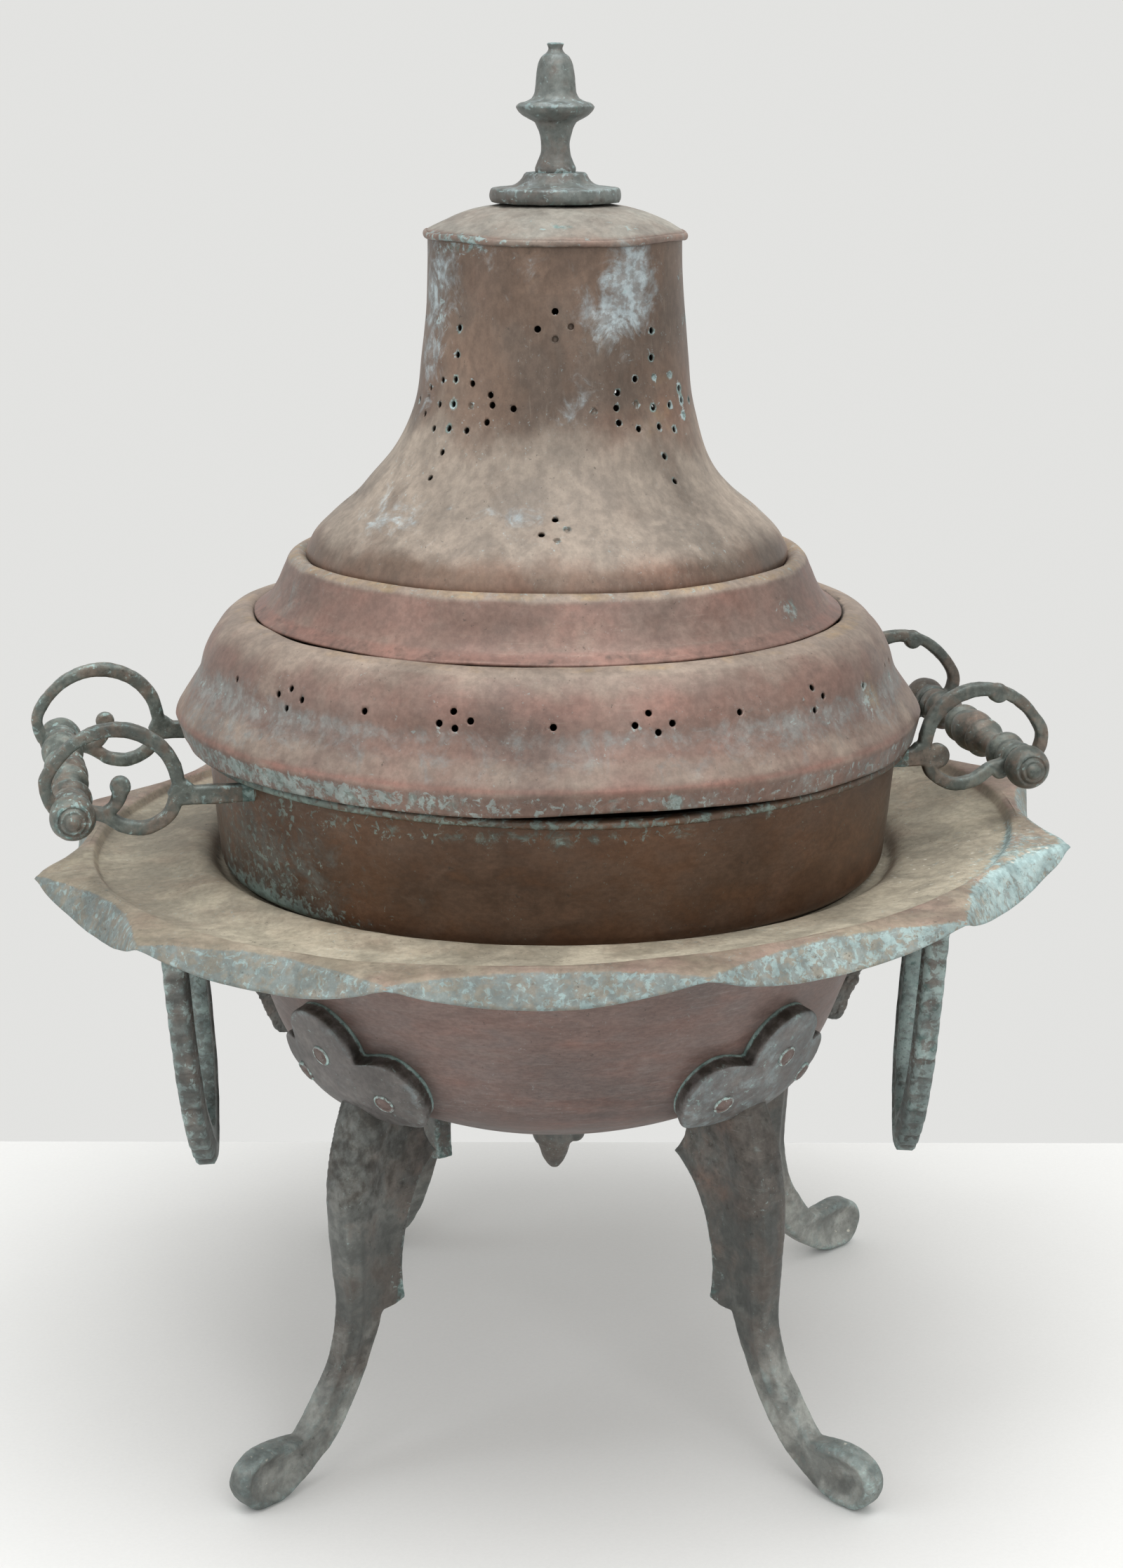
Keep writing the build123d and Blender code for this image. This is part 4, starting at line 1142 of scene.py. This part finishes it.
def disc(name, u, z, r, thick=ARM_T, bulge=1.4, turns=40):
    t = np.linspace(0, 2 * pi, turns, endpoint=False)
    return slab(name, np.column_stack([u + r * np.cos(t), z + r * np.sin(t)]), thick, bulge)


def make_arm(side, where, seed):
    """Openwork arm drawn as (out, up) from its furthest reach, with each side's own nubs and knuckles."""
    azimuth, m = HANDLE_AZIMUTH[side], HANDLE_REACH[side] - 4
    offset = ARM_SPREAD if (side == "left") == (where == "front") else -ARM_SPREAD
    wall = sqrt(PAN_R_TOP**2 - ARM_SPREAD**2)
    ring = smooth([(m - 77, 441), (m - 72, 458), (m - 59, 471), (m - 42, 476), (m - 24, 472.5), (m - 8, 460),
                   (m, 445), (m - 4, 432), (m - 15, 424)], 2)
    lower = smooth([(m - 76, 438), (m - 71, 424), (m - 58, 416.5), (m - 44, 418), (m - 33, 425),
                    (m - 20, 428)], 2)
    swell = 8 + 0.9 * np.sin(np.linspace(0, 7, len(ring)))
    parts = [band("ring", ring, swell), band("lower", lower, 8), disc("hub", m - 14.5, GRIP_Z, 12)]
    lug = [(wall - 12, 429), (m - 74, 429), (m - 70, 436), (m - 74, 444), (m - 82, 443.5), (m - 86, 440),
           (wall - 12, 439.5)]
    parts.append(slab("lug", lug, ARM_T, 1.2))
    if side == "left":
        nub = smooth([(m - 33, 426), (m - 40, 431), (m - 43, 440)], 1.5)
        parts += [band("nub", nub, np.linspace(6, 9, len(nub))), disc("nub_end", m - 43, 442, 6)]
    else:
        parts += [disc("nub_end", m - 68, 435, 7.5), disc("joint", m - 30, 473, 6.2, ARM_T + 1.5, 2.4),
                  disc("knuckle", m - 27, 424, 6.0, ARM_T + 1.0, 2.0)]
    obj = cast(join(f"{side}_arm_{where}_casting", parts), CAST_VOXEL * 0.8, 2)
    pitted(obj, 0.4, 12, seed)
    pitted(obj, 0.12, 3.5, seed + 2)
    bend, p = bend_of(obj), points_of(obj)
    top = np.clip(normals_of(obj)[:, 2], 0, 1)
    green, warm = (0.3, 0.05) if side == "left" else (0.17, 0.15)
    # bloom carries a painted highlight on the convex edges; grime is darker in the creases and carries
    # painted shade on the sides and undersides
    paint(obj,
          dust=0.18 + 0.2 * top, bloom=0.22 + 1.2 * edges_of(bend, 0.15) + 0.16 * top,
          green=green + 0.8 * edges_of(bend, 0.15) + 0.3 * (p[:, 0] < wall + 6), warm=warm,
          grime=0.16 + 1.6 * creases_of(bend) + 0.12 * (1 - top), speck=0.28)
    p[:, 1] += offset
    move_points(obj, leg_place(p, azimuth))
    finish_piece(obj, "pan", HANDLE, "cast_handle", f"{side}_arm_{where}")


def make_grip(side, seed):
    """Turned grip between the two arms, and a knob beyond each arm."""
    azimuth = HANDLE_AZIMUTH[side]
    at = polar(azimuth, HANDLE_REACH[side] - GRIP_IN, GRIP_Z)
    a = radians(azimuth)
    axes = np.array([[sin(a), -cos(a), 0], [0, 0, 1], [cos(a), sin(a), 0]])

    # half of each turning as (radius, distance from the grip's middle)
    belly = smooth([(14.5, 0), (14.2, 5), (13.3, 9), (11.4, 13), (10.5, 15)], 1)
    collar = smooth([(11.6, 16.2), (13.4, 18.4), (13.5, 21.4), (11.8, 23.6)], 0.8)
    waist = smooth([(9.9, 25.5), (8.4, 31), (7.6, 38), (8.2, 45), (10, 51)], 1.5)
    second = smooth([(11.8, 53.8), (13.7, 57), (14, 60.5), (12.2, 63.6)], 0.8)
    groove = smooth([(10.2, 65.2), (10.6, 67), (11.9, 68.6), (12.1, 71), (12.1, 75.2), (11.4, 77.2),
                     (9, 77.8)], 0.8)
    half = np.vstack([belly, collar, waist, second, groove, [(3.8, 77.8), (3.8, 90), (0, 90)]])
    half = half * (GRIP_SLIM, 1)
    grip = lathe(f"{side}_turned_grip", np.vstack([half[::-1] * (1, -1), half[1:]]), 96)

    start = KNOB_START
    ball = smooth([(r, start + far) for r, far in (
        (10.3, 0), (12.6, 3.5), (14.2, 8), (14.4, 13.5), (13.2, 18.5), (11, 22))], 1)
    ring_face = smooth([(r, start + far) for r, far in (
        (9.8, 23.2), (9.0, 22.6), (8.2, 23.6), (6.8, 25.2), (5.6, 25.0), (4.6, 26.4), (2.5, 27.9),
        (0, 28.6))], 0.7)
    end = np.vstack([[(0, start + 3), (4.1, start)], ball, ring_face]) * (GRIP_SLIM, 1)
    end[:, 1] = start + KNOB_SHORT * (end[:, 1] - start)
    ends = join(f"{side}_turned_knobs", [lathe("knob", end * (1, flip), 64) for flip in (1, -1)])

    green, warm = (0.34, 0.0) if side == "left" else (0.24, 0.2)
    for obj, node, k in ((grip, f"{side}_grip", 1), (ends, f"{side}_grip_knobs", 2)):
        pitted(obj, 0.3, 10, seed + k)
        bend = bend_of(obj)
        # bloom carries a painted highlight on the convex edges; grime is darker in the creases
        paint(obj, dust=0.24, bloom=0.26 + 1.2 * edges_of(bend), green=green + 0.9 * edges_of(bend),
              warm=warm, grime=0.2 + 2.0 * creases_of(bend), speck=0.25)
        move_points(obj, points_of(obj) @ axes + np.array(at))
        finish_piece(obj, "pan", HANDLE, "cast_handle", node)


# ---- drop handles ----
# across the loop's section, from its inner face over the outer edge to the far face and the hollow:
# (share of the way from the loop's inner line to its outer one, depth, how much the gadroons show)
BAIL_SECTION = [(0.0, 0.6, 0), (0.12, 0.0, 0), (0.42, -0.2, 0), (0.5, -1.3, 0), (0.58, -0.2, 0),
                (0.86, 0.0, 0), (0.965, 0.7, 0.3), (1.0, 2.4, 1), (1.0, 5.0, 1), (1.0, 7.0, 1), (1.0, 9.0, 1),
                (1.0, 11.6, 1), (0.965, BAIL_T - 0.5, 0.7), (0.8, BAIL_T + 0.3, 0.5), (0.6, BAIL_T, 0.2),
                (0.3, BAIL_T - 0.2, 0), (0.1, BAIL_T - 0.4, 0), (0.0, BAIL_T - 1.6, 0), (0.0, BAIL_T / 2, 0)]
GADROONS = 30


def bail_loop():
    """The cast loop round its own pin line, hanging straight down."""
    half = [(BAIL_W / 2 - 3, 0), (BAIL_W / 2, -60), (BAIL_W / 2 - 3, -110), (32, -155), (0, -BAIL_DROP)]
    hollow = [(29, 0), (31, -60), (29, -105), (18, -142), (0, -162)]
    outer, inner = (smooth([(-y, z) for y, z in side] + side[-2::-1], 1.6) for side in (half, hollow))
    run = np.concatenate([[0], np.cumsum(np.linalg.norm(np.diff(outer, axis=0), axis=1))])
    lumps = np.abs(np.sin(pi * GADROONS * run / run[-1])) ** 0.7
    d = np.gradient(outer, axis=0)
    d /= np.linalg.norm(d, axis=1)[:, None]
    out = np.column_stack([d[:, 1], -d[:, 0]])
    out *= np.sign((out * (outer - (0, -80))).sum())
    steps = np.linspace(0, 1, len(outer))
    match = np.column_stack([np.interp(steps, np.linspace(0, 1, len(inner)), inner[:, i]) for i in (0, 1)])
    rows = []
    for share, x, lump in BAIL_SECTION:
        base = match * (1 - share) + outer * share
        p = base + out * (-1.9 + 2.4 * lumps * lump)[:, None] * (1 if share > 0.9 else 0.3)
        x = x - BAIL_T / 2
        rows.append(np.column_stack([x + 0.8 * (lumps - 0.5) * lump * np.sign(x), p[:, 0], p[:, 1]]))
    rows = np.stack(rows, axis=1)
    return tidy_mesh(mesh_object("loop", rows.reshape(-1, 3), capped_faces(*rows.shape[:2])))


def bail_eye(y):
    """Ring round the pin."""
    t = np.linspace(0, 2 * pi, 32, endpoint=False)
    ring = [np.column_stack([r * np.cos(t), np.full(len(t), y + v * 1.05), r * np.sin(t)]) for r, v in (
        (4.15, 7.0), (8.2, 7.6), (EYE_R, 6.6), (EYE_R, -6.6), (8.2, -7.6), (4.15, -7.0))]
    return tidy_mesh(mesh_object("eye", np.vstack(ring), grid_faces(len(ring), len(t), wrap_rows=True)))


def make_bail(side, seed):
    """Cast loop with a row of gadroons round its outer edge and a thin ridge down its inner face."""
    sign = -1 if side == "left" else 1
    obj = join(f"{side}_bail_casting", [bail_loop(), bail_eye(-EYE_Y), bail_eye(EYE_Y)])
    p = points_of(obj)
    lift = ease(p[:, 2], -16, -2)
    in_eye = (np.hypot(p[:, 0], p[:, 2]) < EYE_R + 0.3) & (np.abs(np.abs(p[:, 1]) - EYE_Y) < 9)
    p[:, 0] = np.where(in_eye, p[:, 0], (p[:, 0] + BAIL_SET * (1 - lift)) * (1 - 0.5 * lift))
    move_points(obj, p)
    pitted(obj, 0.25, 14, seed)
    bend, n, p = bend_of(obj), normals_of(obj), points_of(obj)
    inner_face = ease(-n[:, 0], 0.5, 0.9)
    light = 0.20 if side == "right" else 0.12
    # bloom carries a painted highlight on the convex edges; grime is darker in the creases and carries
    # painted shade on the loop's inner face
    paint(obj,
          dust=0.18 + light, bloom=0.22 + light + 2.0 * edges_of(bend, 0.15),
          green=0.16 + light + 0.9 * edges_of(bend, 0.15), warm=0.02,
          grime=0.12 + 2.0 * creases_of(bend) + 0.12 * inner_face - light, speck=0.2)
    lean = radians(BAIL_LEAN[side])
    x, y, z = p.T
    x, z = x * cos(lean) + z * sin(lean), z * cos(lean) - x * sin(lean)
    move_points(obj, np.column_stack([sign * x, y, z]) + (sign * BAIL_X, 0, BAIL_PIN_Z[side]))
    if sign < 0:
        obj.data.flip_normals()
    finish_piece(obj, f"{side}_drop_handle", STAND, "cast_stand", f"{side}_bail")


def make_bottom_finial():
    drop = smooth([(2.6, 144.8), (4.6, 147), (7.2, 151.5), (9.4, 157), (11, 162)], 1)
    swell = smooth([(12.4, 163.4), (14, 167), (14.2, 172), (13, 176.6)], 1)
    neck = smooth([(10.6, 178.6), (9.9, 183), (11, 187), (12.4, 190)], 1)
    body = lathe("pendant", np.vstack([[(0, 144.6)], drop, swell, neck, [(12.4, 190.5), (0, 190.5)]]), 80)
    lug = lathe("lug", smooth([(0, -7.2), (4.6, -5.6), (6.8, -1.5), (6.2, 3.6), (3.4, 6.4), (0, 7.2)], 1), 40)
    move_points(lug, points_of(lug) + (13.5, 0, 170))
    obj = cast(join("bottom_finial_casting", [body, lug]), CAST_VOXEL * 0.7, 2)
    pitted(obj, 0.35, 8, 4)
    bend = bend_of(obj)
    # bloom carries a painted highlight on the convex edges; grime is darker in the creases
    paint(obj, dust=0.25, bloom=0.25 + 1.5 * edges_of(bend, 0.1), green=0.26, warm=0.1,
          grime=0.12 + 1.6 * creases_of(bend), speck=0.25)
    finish_piece(obj, "stand", STAND, "cast_stand", "bottom_finial")


def dress_node(name, material, swell=0.0):
    """Gives a CAD node a patina and worn edges, or where it swells, a pitted skin."""
    obj = bpy.data.objects[name]
    obj.data.materials.clear()
    obj.data.materials.append(material)
    if swell:
        fuse_modifiers(obj, 1.2, 5)
        clouds = bpy.data.textures.new("pitting", "CLOUDS")
        clouds.noise_scale, clouds.noise_depth = 0.006, 3
        rough = obj.modifiers.new("pitting", "DISPLACE")
        rough.texture, rough.strength, rough.mid_level = clouds, 2.4 * swell * MM, 0.0
    else:
        edge = obj.modifiers.new("worn_edge", "BEVEL")
        edge.width, edge.segments, edge.limit_method = 0.4 * MM, 2, "ANGLE"


# ---- build ----
for make in (make_skirt, make_tier, make_bell, make_cap, make_finial, make_pan, make_tray, make_bowl):
    make()
for number, (leg, azimuth) in enumerate(LEG_AZIMUTHS.items()):
    make_plate(leg, azimuth - PLATE_TURN * outboard_of(azimuth), 40 + number)
    make_leg(leg, azimuth, 50 + number)
make_rivets()
for number, side in enumerate(("left", "right")):
    make_arm(side, "front", 60 + number)
    make_arm(side, "rear", 64 + number)
    make_grip(side, 68 + 3 * number)
    make_bail(side, 80 + number)
    dress_node(f"{side}_bail_bracket", STAND, 1.6)
    dress_node(f"{side}_bail_pin", STAND)
make_bottom_finial()


# ---- light, floor and camera ----
FLOOR_SIDE, FLOOR_EDGE = 3000.0, 388.0  # the floor ends behind the brazier, against the pale room
CAMERA_PLACE, CAMERA_PITCH, CAMERA_ROLL, LENS = (0.0036, -1.650, 0.848), 14.98, -0.1, 61.55
ROOM_COLOUR = (0.765, 0.765, 0.75, 1)


def floor_material():
    t = Tree("pale_floor")
    wash = t.span(t.noise(1.6, 4, 0.5), 0.3, 0.7, 0.95, 1.02)
    grain = t.span(t.noise(420, 4, 0.7), 0.3, 0.7, 0.985, 1.01)
    colour = t.mix(1.0, t.mix(1.0, (0.80, 0.80, 0.79), wash, "MULTIPLY"), grain, "MULTIPLY")
    return t.finished(Base_Color=colour, Roughness=0.75)


def area_light(name, place, aim, wide, tall, watts, colour=(1, 1, 1)):
    data = bpy.data.lights.new(name, "AREA")
    data.shape = "RECTANGLE"
    data.size, data.size_y, data.energy, data.color = wide, tall, watts, colour
    obj = linked(name, data)
    obj.location = place
    obj.rotation_euler = (Vector(aim) - Vector(place)).to_track_quat("-Z", "Y").to_euler()
    return obj


floor = mesh_object("floor", [(-FLOOR_SIDE, -FLOOR_SIDE, 0), (FLOOR_SIDE, -FLOOR_SIDE, 0),
                              (FLOOR_SIDE, FLOOR_EDGE, 0), (-FLOOR_SIDE, FLOOR_EDGE, 0)], [(0, 1, 2, 3)])
floor.data.materials.append(floor_material())
overhead = area_light("overhead_softbox", (0.1, -0.5, 2.6), (0, 0, 0.3), 2.4, 1.8, 42)
key = area_light("front_softbox", (0.9, -2.4, 1.9), (0, 0, 0.4), 1.2, 1.2, 14)
fill = area_light("left_softbox", (-2.2, -1.0, 1.5), (0, 0, 0.4), 1.2, 1.4, 10, (0.93, 0.97, 1.0))

world = bpy.data.worlds.new("pale_room")
world.use_nodes = True
backdrop = world.node_tree.nodes["Background"]
backdrop.inputs["Color"].default_value = ROOM_COLOUR
backdrop.inputs["Strength"].default_value = 1.0
bpy.context.scene.world = world
bpy.context.scene.view_settings.view_transform = "Standard"

camera_data = bpy.data.cameras.new("camera")
camera_data.sensor_width, camera_data.lens = 36.0, LENS
camera = linked("camera", camera_data)
camera.location = CAMERA_PLACE
camera.rotation_euler = (radians(90 - CAMERA_PITCH), radians(CAMERA_ROLL), 0)
bpy.context.scene.camera = camera
